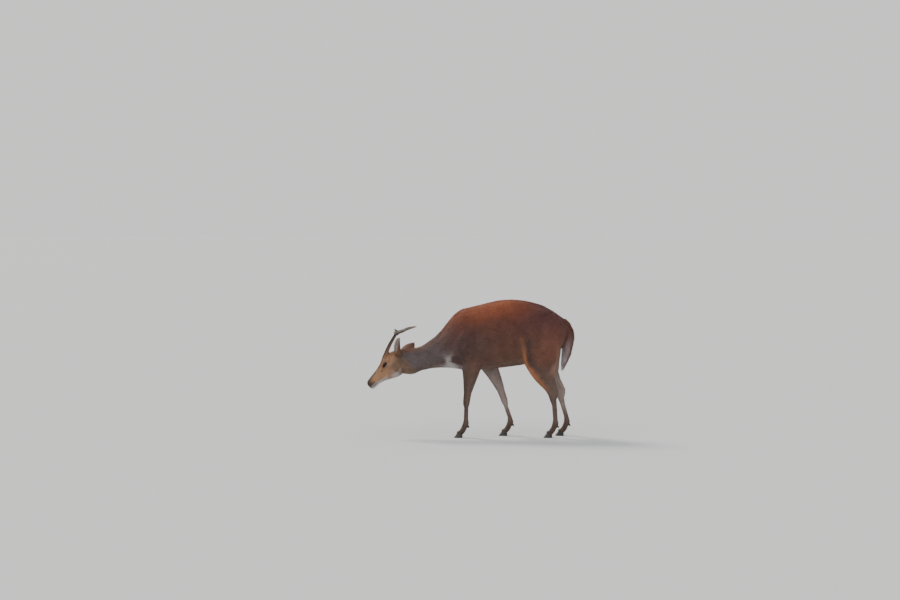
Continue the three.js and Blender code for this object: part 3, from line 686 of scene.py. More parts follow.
def shapedFace(mesh):
    places, normals = placesOf(mesh), normalsOf(mesh)
    local, turned = inHead(places), normals @ headAxes.T
    on = headShare(places) > 0.5
    push = np.zeros(len(places))
    x, y, z = local.T
    absY = np.abs(y)

    # mouth: a groove with the upper lip rolled over it
    off = z - mouthHeight(x)
    along = smoothStep(mouthLine["corner"][0] - 0.003, mouthLine["corner"][0] + 0.006, x)
    for height, place, reach in muzzleForms["lips"]:
        push += height * along * hump(off, place, reach)

    # nose: nostrils with a raised wing, and the groove between them down to the lip
    nx, ny, nz = muzzleForms["nostril"]
    wayA = (x - nx) * -0.45 + (absY - ny) * 0.72 + (z - nz) * 0.53
    wayB = (x - nx) * 0.15 - (absY - ny) * 0.5 + (z - nz) * 0.85
    bend = wayB - 60 * wayA**2
    push -= muzzleForms["nostrilDepth"] * (hump(wayA, 0, 0.0042) * hump(bend, 0, 0.0017))
    push += muzzleForms["nostrilRim"] * hump(wayA, 0.0004, 0.0058) * hump(bend, 0.0036, 0.0017)
    front = smoothStep(0.188, 0.194, x)
    push -= muzzleForms["philtrum"] * front * hump(y, 0, 0.0008) * smoothStep(-0.001, 0.002, off)
    push += muzzleForms["padHeight"] * (nosePad(local) - 0.3 * front)

    # the slit of the gland before the eye, and the slits inside the ribs of the forehead
    gx, gz = faceGland["place"]
    slitA = (x - gx) * 0.98 + (z - gz) * -0.18
    slitB = (x - gx) * 0.18 + (z - gz) * 0.98
    onSide = smoothStep(0.4, 0.7, np.abs(turned[:, 1]))
    slit = faceGland["depth"] * onSide * hump(slitA, 0, faceGland["length"])
    push -= slit * hump(slitB, 0, faceGland["width"])
    rims = sum(hump(slitB, way * faceGland["rimAway"], faceGland["rimWidth"]) for way in (1, -1))
    push += faceGland["rim"] * onSide * hump(slitA, 0, faceGland["rimLength"]) * rims
    (x0, y0), (x1, y1) = browSlit["foot"], browSlit["top"]
    t = np.clip((x - x0) / (x1 - x0), -0.3, 1.3)
    fromSlit = absY - (y0 + (y1 - y0) * t)
    onTop = smoothStep(0.25, 0.6, turned[:, 2]) * smoothStep(-0.25, 0.2, t) * (1 - smoothStep(0.8, 1.2, t))
    push -= browSlit["depth"] * onTop * hump(fromSlit, 0, browSlit["width"])

    # cheek bone, jaw line, the hollow of the cheek and folds behind the mouth
    for height, placeX, reachX, placeZ, reachZ in faceForms:
        push += height * onSide * hump(z, placeZ, reachZ) * hump(x, placeX, reachX)
    for fold in mouthFolds["places"]:
        across = hump(x + 0.25 * (z + 0.009), fold, mouthFolds["width"])
        push -= mouthFolds["depth"] * onSide * across * hump(off, -0.001, mouthFolds["length"])
    places = places + normals * np.where(on, push, 0)[:, None]

    # lids round each eye
    local = inHead(places)
    for sign in sides.values():
        outside, radius, way, eye, v = lidDistance(local, sign)
        ball = headSizes["eyeRadius"]
        near = (outside < lidSizes["end"]) & (radius < 0.034) & on
        margin, bulge = lidSizes["margin"], lidSizes["bulge"]
        lid = ball + margin + (bulge - margin) * smoothStep(0.0, 0.003, outside)
        lid = lid + np.maximum(radius - lid, 0) * smoothStep(0.002, 0.007, outside)
        crease = lidSizes["crease"] * np.where(v > 0, 1.0, 0.8)
        lid = lid - lidSizes["creaseDepth"] * hump(outside, crease, 0.0009)
        lid = lid + 0.0004 * hump(outside, 0.0008, 0.0007)
        inside = ball + lidSizes["behind"]
        target = inside + (lid - inside) * smoothStep(-0.0005, 0.0003, outside)
        share = 1 - smoothStep(0.003, lidSizes["end"], outside)
        newRadius = radius + (target - radius) * share
        local[near] = (eye + way * newRadius[:, None])[near]
    setPlaces(mesh, local @ headAxes + headPlace)
    return mesh


# ears: a deep cup of thin skin, root in the head's frame, pointing and opening in the animal's frame

earSizes = {
    "length": 0.098,
    "skin": 0.0024,
    "back": 0.012,
    "steps": 46,
    "across": 24,
    "ridges": (-0.42, -0.12, 0.2, 0.5),
    "ridgeHeight": 0.0007,
    "ripple": 0.0007,
}
earStations = np.array([
    [0.0, 11.0, 165, 0.0],
    [0.16, 16.0, 135, 1.0],
    [0.32, 22.0, 100, 2.0],
    [0.5, 25.2, 76, 2.0],
    [0.68, 23.6, 64, 1.0],
    [0.84, 16.4, 56, -1.0],
    [0.94, 8.6, 50, -3.0],
    [0.985, 3.4, 46, -4.0],
    [1.0, 0.6, 45, -4.2],
]).T  # way along, half width in mm, half wrap in degrees, bend in mm
earPlaces = {
    "left": {"root": (0.002, 0.029, 0.015), "points": (-0.12, -0.58, 0.8), "opens": (-0.95, -0.3, 0)},
    "right": {"root": (0.0, -0.028, 0.013), "points": (0.58, 0.68, 0.42), "opens": (-0.3, 0.7, -0.65)},
}


def smoothTable(at, stations, row):
    # a smooth curve through a table's row, by averaging a straight one over a short reach
    reach = 0.05
    near = (np.clip(at + reach * k / 3, 0, 1) for k in range(-3, 4))
    return sum(np.interp(spot, stations[0], stations[row]) for spot in near) / 7


def earFrame(side):
    place = earPlaces[side]
    points = unit(np.array(place["points"]))
    opens = np.array(place["opens"])
    opens = unit(opens - points * np.dot(opens, points))
    across = np.cross(opens, points)
    return np.array([across, opens, points]), fromHead([place["root"]])[0]


def earShape(side):
    steps, count = earSizes["steps"], earSizes["across"]
    u = np.linspace(0, 1, steps + 1) ** 0.9
    half, wrap, bend = (smoothTable(u, earStations, row) for row in (1, 2, 3))
    half = half * np.sqrt(1 - smoothStep(0.9, 1.0, u) * 0.9)
    reach = np.radians(wrap)
    radius = half / np.sin(np.minimum(reach, math.pi / 2)) / 1000
    s = np.linspace(-1, 1, count + 1)
    grid = []
    for face in (0, 1):
        across = s if face == 0 else s[::-1]
        skin = np.minimum(earSizes["skin"], radius * 0.4)[:, None]
        skin = skin * (1 - 0.5 * np.abs(across)[None] ** 4) * face
        skin = skin * (1 - 0.6 * smoothStep(0.85, 1.0, u))[:, None]
        ridge = sum(hump(across, at, 0.07) for at in earSizes["ridges"])[None]
        ridge = ridge * earSizes["ridgeHeight"] * face
        ridge = ridge * (smoothStep(0.12, 0.3, u) * (1 - smoothStep(0.6, 0.9, u)))[:, None]
        ripple = earSizes["ripple"] * np.sin(9 * u + 1.3)[:, None] * np.abs(across)[None] ** 6
        r = radius[:, None] - skin - ridge + ripple
        angle = across[None] * reach[:, None]
        x = r * np.sin(angle)
        y = radius[:, None] - r * np.cos(angle) - earSizes["back"] + bend[:, None] / 1000
        z = np.broadcast_to((u * earSizes["length"])[:, None], x.shape)
        grid.append(np.stack([x, y, z], axis=2))
    local = np.concatenate(grid, axis=1)
    ringCount = local.shape[1]
    faces = ringFaces(steps + 1, ringCount)
    for ringStart, way in ((0, -1), (steps * ringCount, 1)):
        for k in range(count):
            a, b = ringStart + k, ringStart + k + 1
            c, d = ringStart + ringCount - 2 - k, ringStart + ringCount - 1 - k
            faces.append([a, b, c, d][::-way])
    axes, root = earFrame(side)
    return local.reshape(-1, 3) @ axes + root, faces


def inEar(points, side):
    axes, root = earFrame(side)
    return (points - root) @ axes.T


def closedMesh(name, points, faces):
    mesh = newMesh(name, points, faces)
    form = bmesh.new()
    form.from_mesh(mesh)
    bmesh.ops.remove_doubles(form, verts=form.verts, dist=1e-6)
    bmesh.ops.recalc_face_normals(form, faces=form.faces)
    form.to_mesh(mesh)
    form.free()
    return mesh


earJoint = {"reach": 0.045, "width": 0.005, "share": 0.6, "rounds": 12}


def withEars(mesh):
    # the ears joined to the skin, with a smoothed seam
    obj = newObject("skinWithEars", mesh)
    tools = []
    for side in sides:
        tool = newObject("earTool", closedMesh("earTool", *earShape(side)))
        tools.append(tool)
        union = obj.modifiers.new("ear", "BOOLEAN")
        union.operation = "UNION"
        union.solver = "MANIFOLD"
        union.object = tool
    joined = plainMesh(obj, "skin")
    for side, tool in zip(sides, tools):
        places, edges = placesOf(joined), edgesOf(joined)
        ear = searchTree(tool.data)
        weight = np.zeros(len(places))
        for i in np.where(lengths(inEar(places, side)) < earJoint["reach"])[0]:
            spot = Vector(places[i])
            away = max(headTree.find_nearest(spot)[3], ear.find_nearest(spot)[3])
            weight[i] = earJoint["share"] * max(0.0, 1 - away / earJoint["width"])
        setPlaces(joined, spread(places, edges, weight, earJoint["rounds"]))
        bpy.data.objects.remove(tool)
    return joined


def thinned(mesh):
    # the head and ears keep their points, and the trunk gives up most of what it doesn't need
    obj = newObject("thinned", mesh)
    places = placesOf(mesh)
    coarse = (1 - smoothStep(0.0, 0.6, headShare(places))) * (1 - skinSizes["legShare"] * legShare(places))
    for side in sides:
        coarse[lengths(inEar(places, side) - [0, 0, 0.05]) < 0.07] = 0
    for x, z, reachX, reachZ in skinSizes["fineMarks"]:
        near = (np.abs(places[:, 0] - x) < reachX) & (np.abs(places[:, 2] - z) < reachZ)
        coarse[near] *= skinSizes["fineShare"]
    group = obj.vertex_groups.new(name="coarse")
    levels = np.round(coarse * 8).astype(int)
    for level in range(1, 9):
        group.add(np.where(levels == level)[0].tolist(), level / 8, "REPLACE")
    mesh.calc_loop_triangles()
    decimate = obj.modifiers.new("thin", "DECIMATE")
    decimate.vertex_group = "coarse"
    decimate.ratio = min(1.0, skinSizes["triangles"] / len(mesh.loop_triangles))
    return plainMesh(obj, "skin")


def eyeDistance(local):
    # distance from the middle of the nearer eye
    return lengths(local * [1, 0, 1] + np.abs(local) * [0, 1, 0] - np.array(headSizes["eye"]))


def refinedHead(mesh):
    # more points on the face, and most round the eyes and on the muzzle
    form = bmesh.new()
    form.from_mesh(mesh)
    form.faces.ensure_lookup_table()
    middles = faceMiddles(form)
    local = inHead(middles)
    refine(form, (headShare(middles) > 0.5) & (local[:, 0] > 0.045) & (np.abs(local[:, 2]) < 0.07))
    local = inHead(faceMiddles(form))
    muzzle = (local[:, 0] > 0.168) & (local[:, 0] < 0.21) & (np.abs(local[:, 2]) < 0.04)
    refine(form, (eyeDistance(local) < 0.021) | muzzle & (np.abs(local[:, 1]) < 0.03))
    form.to_mesh(mesh)
    form.free()
    places, edges = placesOf(mesh), edgesOf(mesh)
    places = spread(places, edges, 0.5 * headShare(places), 5)
    round = 1 - smoothStep(0.016, 0.03, eyeDistance(inHead(places)))
    setPlaces(mesh, spread(places, edges, 0.5 * round, 30))
    return mesh


skinMesh = refinedHead(relievedBody(smoothedSkin(roughSkin())))
skinMesh = shapedFace(skinMesh)
headTree = searchTree(skinMesh)
skinMesh = smoothShaded(thinned(withEars(skinMesh)))
skinMesh.calc_loop_triangles()
print(f"skin: {len(skinMesh.loop_triangles)} triangles")
skinMaterial = bpy.data.materials.new("skin")
fleshAndEars = [*fleshNodes, "tail", "ear_left", "ear_right"]
skin = finishPiece("skin", skinMesh, fleshAndEars, skinMaterial)


# the coat's colours, as the shares of red, green and blue light that the hair sends back; some hold painted
# light: painted sunlight on the back, the neck's top and the thigh's front edge, painted shade on the sides,
# loin and shoulder, and a painted blue skylight tint on the sides, the neck and the tail's white

coatPalette = {
    # the back's own red, brightened as painted sunlight; below it side, flank and loin, darker and tinted
    # blue as painted shade of the sides
    "sunlitSaddle": (0.32, 0.083, 0.031),
    "side": (0.131, 0.049, 0.037),
    "flank": (0.138, 0.065, 0.045),
    "loin": (0.116, 0.045, 0.041),
    # a dark grey-brown used as painted shade on the shoulder and behind the thigh's front edge
    "shadeBrown": (0.076, 0.047, 0.046),
    "thigh": (0.215, 0.085, 0.056),
    # the neck's grey-brown, tinted blue as painted skylight shade
    "neck": (0.13, 0.103, 0.102),
    # the neck's top, redder and brighter: partly its own red, partly painted sunlight
    "crest": (0.2, 0.085, 0.05),
    "throat": (0.17, 0.115, 0.085),
    "shank": (0.15, 0.1, 0.078),
    "shin": (0.085, 0.056, 0.043),
    "inside": (0.36, 0.28, 0.25),
    # a bright orange band: painted sunlight on the near thigh's front edge
    "sunlitThighEdge": (0.46, 0.19, 0.085),
    "thighRear": (0.36, 0.2, 0.14),
    "belly": (0.17, 0.1, 0.07),
    "white": (0.6, 0.57, 0.56),
    "face": (0.42, 0.235, 0.135),
    "crown": (0.3, 0.13, 0.06),
    "cheek": (0.21, 0.13, 0.085),
    "muzzle": (0.06, 0.04, 0.03),
    "black": (0.016, 0.013, 0.012),
    "earBack": (0.2, 0.105, 0.07),
    "earInside": (0.4, 0.3, 0.26),
    "tail": (0.135, 0.05, 0.034),
    # the white under the tail, tinted blue as painted skylight
    "tailWhite": (0.93, 0.91, 0.95),
}
chestPatches = [(-0.085, 0.319, 0.052, 0.015, 0.8), (-0.106, 0.343, 0.014, 0.026, 0.6)]
# the front edge's bright band is painted sunlight, the stroke behind it painted shade
thighLines = {
    "front": [(0.224, 0.446), (0.230, 0.395), (0.243, 0.343), (0.268, 0.288), (0.325, 0.214), (0.334, 0.19)],
    "rear": [(0.394, 0.365), (0.384, 0.335), (0.375, 0.31)],
    "shade": [(0.252, 0.440), (0.257, 0.365), (0.285, 0.310)],
    "reach": 0.0150,
}  # x and z of the near thigh's pale edges and of the shade behind its front edge
# the three dark shoulder spots are painted shade
trunkSpots = [
    ("shadeBrown", -0.03, 0.42, 0.062, 0.075, 0.85),
    ("shadeBrown", 0.035, 0.39, 0.03, 0.07, 0.6),
    ("shadeBrown", -0.056, 0.356, 0.045, 0.04, 0.85),
    ("thigh", 0.345, 0.41, 0.07, 0.075, 0.8),
    ("flank", 0.12, 0.37, 0.09, 0.05, 0.6),
]  # spots and patches: x, z, the reach along both and the share of the colour
trunkMarks = {"neckEnd": -0.115, "neckLean": 0.09, "saddleStart": -0.21, "saddleEnd": 0.14, "loinStart": 0.12}


def painted(colour, name, weight):
    weight = np.clip(weight, 0, 1)[:, None]
    return colour + (np.array(coatPalette[name]) - colour) * weight


def trunkHeight(points):
    # 0 at the trunk's lower line, 1 at its upper line
    top, bottom = (np.interp(points[:, 0], trunkX, line) for line in (trunkTop, trunkBottom))
    return (points[:, 2] - bottom) / (top - bottom)


def bodyShades(points, normals):
    x, _, z = points.T
    patch, fine = softNoise(points, 26, 3), softNoise(points, 85, 4)
    high = trunkHeight(points) + 0.05 * patch + 0.04 * fine
    colour = np.tile(coatPalette["flank"], (len(points), 1))
    # darker sides and a brighter top as the height rises: painted shade and painted sunlight over the coat's
    # own redder back
    colour = painted(colour, "side", smoothStep(0.3, 0.75, high))
    loin = smoothStep(0, 0.16, x - trunkMarks["loinStart"] + 0.03 * patch) * smoothStep(0.4, 0.7, high)
    colour = painted(colour, "loin", loin)
    along = smoothStep(0, 0.23, x - trunkMarks["saddleStart"])
    along = along * (1 - smoothStep(0, 0.17, x - trunkMarks["saddleEnd"] + 0.03 * patch))
    colour = painted(colour, "sunlitSaddle", along * smoothStep(0.6, 0.93, high))
    for name, px, pz, rx, rz, share in trunkSpots:
        spot = hump(x + 0.02 * patch, px, rx) * hump(z + 0.015 * fine, pz, rz)
        colour = painted(colour, name, share * smoothStep(0.15, 0.9, spot))
    underneath = smoothStep(0.35, 0.8, -normals[:, 2] + 0.15 * patch) * smoothStep(-0.05, 0.06, x)
    colour = painted(colour, "belly", underneath * (1 - smoothStep(0.1, 0.3, high)))
    fromNeck = x - trunkMarks["neckEnd"] + trunkMarks["neckLean"] * (high - 0.4) + 0.03 * patch
    neck = 1 - smoothStep(-0.035, 0.035, fromNeck)
    # the neck's own grey-brown with a painted blue skylight tint
    colour = painted(colour, "neck", neck)
    colour = painted(colour, "throat", neck * (1 - smoothStep(0.05, 0.3, high)) * 0.8)
    # the neck's top lighter: partly its own red, partly painted sunlight
    colour = painted(colour, "crest", neck * smoothStep(0.72, 0.98, high))
    for px, pz, rx, rz, share in chestPatches:
        spot = hump(x + 0.014 * fine, px, rx) * hump(z + 0.008 * fine, pz, rz)
        colour = painted(colour, "white", share * smoothStep(0.05, 0.95, spot))
    return colour


def strokeDistance(points, line, shift):
    # distance in side view from a line through the given x and z places
    at = points[:, [0, 2]] - [shift, 0]
    best = np.full(len(points), 9.0)
    for start, end in zip(np.array(line[:-1]), np.array(line[1:])):
        way = end - start
        t = np.clip((at - start) @ way / (way @ way), 0, 1)
        best = np.minimum(best, lengths(at - start - t[:, None] * way))
    return best


def legShift(name):
    # how far behind the near hind leg this leg stands at mid height
    x, near = (np.interp(0.25, legLines[leg][0], legLines[leg][1]) for leg in (name, "hindleg_left"))
    return x - near


def legShades(colour, points, normals):
    z = points[:, 2]
    patch, fine = softNoise(points, 40, 6), softNoise(points, 130, 5)
    for name in legNames:
        near = 1 - smoothStep(1.25, 1.8, legNearness(points, name))
        low = near * (1 - smoothStep(0.25, 0.36, z + 0.02 * patch))
        inner = -1 if name.endswith("left") else 1
        colour = painted(colour, "shank", low)
        medial = smoothStep(0.1, 0.75, -normals[:, 1] * inner)
        inside = near * medial * (1 - smoothStep(0.32, 0.38, z)) * smoothStep(0.07, 0.16, z)
        colour = painted(colour, "inside", inside * 0.9)
        if name.startswith("fore"):
            back = legPlace(points, name)[0]
            colour = painted(colour, "shin", low * smoothStep(-0.2, 0.6, -back) * (1 - medial) * 0.8)
        else:
            reach = thighLines["reach"] * (1 + 0.3 * patch + 0.3 * fine)
            reach = reach * (1.8 - 1.1 * smoothStep(0.29, 0.37, z))
            away = {
                line: strokeDistance(points, thighLines[line], legShift(name)) / reach
                for line in ("front", "rear", "shade")
            }
            onSide = smoothStep(-0.01, 0.03, inner * points[:, 1])
            outside = onSide * (1 - medial * (z < 0.36))
            # painted shade in the hollow behind the thigh's front edge
            shade = 1 - smoothStep(0.2, 1.5, away["shade"])
            colour = painted(colour, "shadeBrown", shade * outside * 0.6)
            # the bright band on the thigh's front edge: painted sunlight
            front = (1 - smoothStep(0.25, 1.2, away["front"])) * (1 - smoothStep(-0.1, 0.4, normals[:, 0]))
            front = front * smoothStep(0.18, 0.25, z) * (1 - 0.5 * smoothStep(0.34, 0.46, z))
            colour = painted(colour, "sunlitThighEdge", front * outside * 0.92)
            rear = (1 - smoothStep(0.3, 1.5, away["rear"])) * smoothStep(0.0, 0.4, normals[:, 0])
            colour = painted(colour, "thighRear", near * rear * 0.6)
        pastern = near * (1 - smoothStep(0.04, 0.075, z + 0.01 * patch))
        colour = painted(colour, "shin", pastern * 0.85)
    return colour


def ribDistance(local):
    # how far inwards of the line of the forehead's rib a point lies, and the way along that line
    foot, top = np.array(ribPath[-1]), np.array(ribPath[0])
    t = (local[:, 0] - foot[0]) / (top[0] - foot[0])
    return np.abs(local[:, 1]) - (foot[1] + (top[1] - foot[1]) * t), t


def headShades(points, normals):
    local, turned = inHead(points), normals @ headAxes.T
    x, y, z = local.T
    patch, fine = softNoise(points, 60, 8), softNoise(points, 170, 9)
    upwards, aboveMouth = turned[:, 2], z - mouthHeight(x)
    colour = np.tile(coatPalette["face"], (len(points), 1))
    crown = smoothStep(0.3, 0.7, upwards + 0.1 * patch) * (1 - smoothStep(0.1, 0.13, x))
    colour = painted(colour, "crown", crown)
    cheek = (1 - smoothStep(0.05, 0.1, x + 0.012 * patch)) * (1 - smoothStep(0.0, 0.03, z + 0.006 * fine))
    colour = painted(colour, "cheek", cheek)
    colour = painted(colour, "throat", 1 - smoothStep(-0.005, 0.03, x + 0.01 * patch))
    # the dark bridge of the nose: partly its own dark hair, partly painted shade on the muzzle's top
    bridge = smoothStep(0.1, 0.145, x) * (1 - smoothStep(0.008, 0.017, np.abs(y) + 0.003 * fine))
    colour = painted(colour, "muzzle", 0.8 * (bridge * smoothStep(0.2, 0.6, upwards)))
    nose = 0.9 * smoothStep(0.155, 0.185, x + 0.006 * patch)
    colour = painted(colour, "muzzle", nose * smoothStep(-0.006, 0.004, aboveMouth))
    below = smoothStep(0.0003, 0.003, mouthHeight(x) - z + 0.001 * fine) * smoothStep(0.09, 0.15, x)
    underneath = smoothStep(0.3, 0.85, -upwards + 0.25 * patch) * smoothStep(0.0, 0.09, x + 0.015 * patch)
    colour = painted(colour, "white", 0.85 * np.maximum(below, underneath * 0.8))
    lip = hump(aboveMouth, 0.0035, 0.0022) * smoothStep(0.148, 0.16, x) * (1 - smoothStep(0.188, 0.196, x))
    colour = painted(colour, "white", 0.55 * lip)
    eyeAway = eyeDistance(local)
    ring = hump(eyeAway, 0.0175, 0.0028) * smoothStep(-0.2, 0.3, (z - headSizes["eye"][2]) / 0.012)
    colour = painted(colour, "thighRear", 0.55 * ring)
    inwards, t = ribDistance(local)
    wide = 0.0034 + 0.0026 * smoothStep(-0.2, 0.5, t) + 0.0018 * smoothStep(0.5, 1.1, t)
    stripe = hump(inwards + 0.0018, 0, wide) * smoothStep(-0.3, 0.2, t + 0.1 * fine)
    stripe = stripe * (1 - smoothStep(1.1, 1.5, t)) * smoothStep(0.1, 0.4, upwards)
    up, away = alongPedicle(points)
    onPedicle = (1 - smoothStep(0.0118, 0.0148, away)) * smoothStep(-0.02, 0.16, up)
    outwards = np.sign(y) * turned[:, 1]
    front = 0.34 * turned[:, 0] + 0.84 * upwards - 0.3 * outwards
    front = smoothStep(-0.5 + 0.5 * (1 - up), 0.15 + 0.4 * (1 - up), front + 0.2 * fine)
    stripe = np.maximum(stripe, onPedicle * front)
    colour = painted(colour, "earBack", onPedicle * 0.6)
    return painted(colour, "black", smoothStep(0.2, 0.6, stripe) * 0.96)


def earShades(colour, points, normals, side):
    local = inEar(points, side) / earSizes["length"]
    near = earNearness(points, side)
    middle = hump(local[:, 0], 0, 0.16)
    inside = near * insideEar(points, normals, side)
    outer = painted(colour, "earBack", near * smoothStep(0.02, 0.2, local[:, 2]))
    tip = smoothStep(0.72, 1.0, local[:, 2] + 0.05 * softNoise(points, 90, 2))
    outer = painted(outer, "muzzle", near * tip * 0.7)
    outer = painted(outer, "crown", near * hump(local[:, 2], 0.25, 0.2) * 0.4)
    inner = painted(outer, "earInside", 1 - 0.35 * middle - 0.25 * (1 - smoothStep(0.1, 0.4, local[:, 2])))
    return outer + (inner - outer) * inside[:, None]


def earSection(points, side):
    # a point's place in the ear's frame, the way from the middle of the ear's curve, its radius and wrap
    local = inEar(points, side)
    u = np.clip(local[:, 2] / earSizes["length"], 0, 1)
    half, wrap, bend = (smoothTable(u, earStations, row) for row in (1, 2, 3))
    wrap = np.radians(wrap)
    radius = half / np.sin(np.minimum(wrap, math.pi / 2)) / 1000
    away = local[:, :2] - np.stack([np.zeros_like(u), radius - earSizes["back"] + bend / 1000], axis=1)
    return local, away, radius, wrap


def earNearness(points, side):
    # 1 on the skin of the ear, above its root
    local, away, radius, wrap = earSection(points, side)
    inLength = smoothStep(0.006, 0.016, local[:, 2]) * (local[:, 2] < earSizes["length"] + 0.004)
    around = np.abs(np.arctan2(away[:, 0], -away[:, 1])) < wrap + 0.25
    return inLength * around * (np.abs(lengths(away) - radius) < 0.006)


def earAcross(points, side):
    # 0 along the middle of the ear, 1 at its edges
    _, away, _, wrap = earSection(points, side)
    return np.abs(np.arctan2(away[:, 0], -away[:, 1])) / wrap


def insideEar(points, normals, side):
    away = earSection(points, side)[1]
    facing = -np.sum((normals @ earFrame(side)[0].T)[:, :2] * unit(away), axis=1)
    return smoothStep(-0.1, 0.3, facing)


def coatShades(points, normals):
    colour = legShades(bodyShades(points, normals), points, normals)
    head = smoothStep(0.3, 0.8, headShare(points))[:, None]
    colour = colour + (headShades(points, normals) - colour) * head
    for side in sides:
        colour = earShades(colour, points, normals, side)
    tail = tailShare(points) * smoothStep(-0.03, 0.0, points[:, 0] - tailLow[0])
    brown = np.tile(coatPalette["tail"], (len(points), 1))
    tailColour = painted(brown, "tailWhite", tailUnderside(points, normals))
    return colour + (tailColour - colour) * tail[:, None]


def tailUnderside(points, normals):
    # the white hair on the tail's front, wider towards its tip
    along = np.clip((tailHigh[2] - points[:, 2]) / (tailHigh[2] - tailLow[2]), 0, 1)
    edge = 0.63 - 0.9 * along - 0.8 * smoothStep(0.86, 1.0, along)
    return smoothStep(edge - 0.1, edge + 0.1, -normals[:, 0]) * smoothStep(0.08, 0.2, along)


skinLook = {
    "smooth": 0.86,  # the mask's value on smooth bare skin, and it is 1 on the pebbled nose
    "bareColour": (0.022, 0.017, 0.016),
    "bareRough": 0.42,
    "hairRough": 0.75,
}

# the hair: for each zone the length and width of a tuft in millimetres, how many tufts lie over each other
# and how far they stand off in degrees

hairZones = {
    "trunk": (13.0, 1.35, 2.7, 5.5),
    "neck": (13.5, 1.35, 2.5, 6),
    "belly": (12.0, 1.4, 2.2, 7),
    "thigh": (11.0, 1.3, 2.6, 5.5),
    "shank": (7.0, 1.1, 2.2, 5.5),
    "foot": (6.0, 1.0, 2.0, 7),
    "face": (4.4, 0.85, 1.9, 6),
    "muzzle": (2.6, 0.7, 1.7, 6),
    "cheek": (8.0, 1.1, 2.0, 7),
    "pedicle": (5.5, 0.9, 2.2, 8),
    "earBack": (5.0, 0.9, 1.8, 7),
    "earInside": (11.0, 0.7, 0.35, 16),
    "earEdge": (15.0, 0.8, 1.5, 12),
    "tail": (24.0, 1.6, 6.0, 7),
}


def hairFigures(points, normals, bare):
    # length, width, density and lift of the tufts at each point
    x, _, z = points.T
    figures = np.tile(hairZones["trunk"], (len(points), 1))

    def zone(name, weight):
        nonlocal figures
        figures = figures + (np.array(hairZones[name]) - figures) * np.clip(weight, 0, 1)[:, None]

    zone("belly", smoothStep(0.3, 0.7, -normals[:, 2]))
    zone("neck", 1 - smoothStep(-0.16, -0.08, x))
    for name in legNames:
        near = 1 - smoothStep(1.3, 1.9, legNearness(points, name))
        zone("thigh", near * (1 - smoothStep(0.32, 0.42, z)))
        zone("shank", near * (1 - smoothStep(0.22, 0.30, z)))
        zone("foot", near * (1 - smoothStep(0.05, 0.09, z)))
    local = inHead(points)
    head = headShare(points)
    zone("cheek", smoothStep(0.0, 0.5, head))
    forward = smoothStep(0.02, 0.07, local[:, 0] + 0.5 * local[:, 2])
    zone("face", head * forward)
    zone("muzzle", head * smoothStep(0.13, 0.18, local[:, 0]))
    zone("muzzle", head * (1 - smoothStep(0.017, 0.024, eyeDistance(local))))
    zone("pedicle", pedicleShare(points) * smoothStep(0.1, 0.3, alongPedicle(points)[0]))
    for side in sides:
        near = earNearness(points, side)
        zone("earBack", near)
        inside = near * insideEar(points, normals, side)
        zone("earInside", inside)
        zone("earEdge", inside * smoothStep(0.45, 0.8, earAcross(points, side)))
    zone("tail", tailShare(points) * smoothStep(0.0, 0.02, tailHigh[2] - tailSizes["hairTop"] - z))
    length, width = figures[:, 0] / 1000, figures[:, 1] / 1000
    haired = 1 - np.clip(bare / skinLook["smooth"], 0, 1)
    return length, width, figures[:, 2] / (length * width) * haired, np.radians(figures[:, 3])


def hairLay(points, normals, edges):
    # the way the hair lies at each point, along the skin
    x, _, z = points.T
    one = np.ones_like(x)
    high = np.clip(trunkHeight(points), 0, 1)
    slopes = [np.clip(np.gradient(line, trunkX), -1.4, 1.4) for line in (trunkTop, trunkBottom)]
    topSlope, bottomSlope = (np.interp(x, trunkX, slope) for slope in slopes)
    droop = 0.5 * (1 - np.abs(normals[:, 2])) * smoothStep(-0.2, 0.0, x)
    lay = unit(np.stack([one, 0 * one, bottomSlope + (topSlope - bottomSlope) * high - droop], axis=1))

    def turnTo(way, weight):
        nonlocal lay
        lay = lay + (unit(way) - lay) * np.clip(weight, 0, 1)[:, None]

    for name in legNames:
        lineZ, lineX, lineY = legLines[name][:3]
        lean = [np.interp(z, lineZ, np.gradient(line, lineZ)) for line in (lineX, lineY)]
        near = 1 - smoothStep(1.3, 1.9, legNearness(points, name))
        way = np.stack([0.15 - lean[0], -lean[1], -one], axis=1)
        turnTo(way, near * (1 - smoothStep(0.28, 0.42, z)))
    local, turned = inHead(points), normals @ headAxes.T
    sideways = np.sign(local[:, 1]) * smoothStep(0.004, 0.012, np.abs(local[:, 1]))
    down = -0.3 * np.abs(turned[:, 1]) * (1 - 0.5 * smoothStep(0.08, 0.14, local[:, 0]))
    turnTo(np.stack([-one, 0.12 * sideways, down], axis=1) @ headAxes, headShare(points))
    up = np.array(pedicleEnds["top"]) - np.array(pedicleEnds["foot"])
    way = up * np.stack([one, np.sign(local[:, 1]), one], axis=1)
    turnTo(way @ headAxes, pedicleShare(points) * smoothStep(0.0, 0.15, alongPedicle(points)[0]))
    for side in sides:
        near = np.maximum(earNearness(points, side), hump(lengths(inEar(points, side)), 0, 0.014))
        turnTo(np.tile(earFrame(side)[0][2], (len(x), 1)), near)
    path = tailPath(60)
    along = np.gradient(path, axis=0)
    nearest = np.argmin(np.abs(z[:, None] - path[None, :, 2]), axis=1)
    turnTo(along[nearest], tailShare(points) * (z < tailHigh[2] - 0.01))
    for rounds in (2, 2, 2, 0):
        lay = unit(lay - normals * np.sum(lay * normals, axis=1, keepdims=True))
        lay = spread(lay, edges, 0.5, rounds)
    return lay


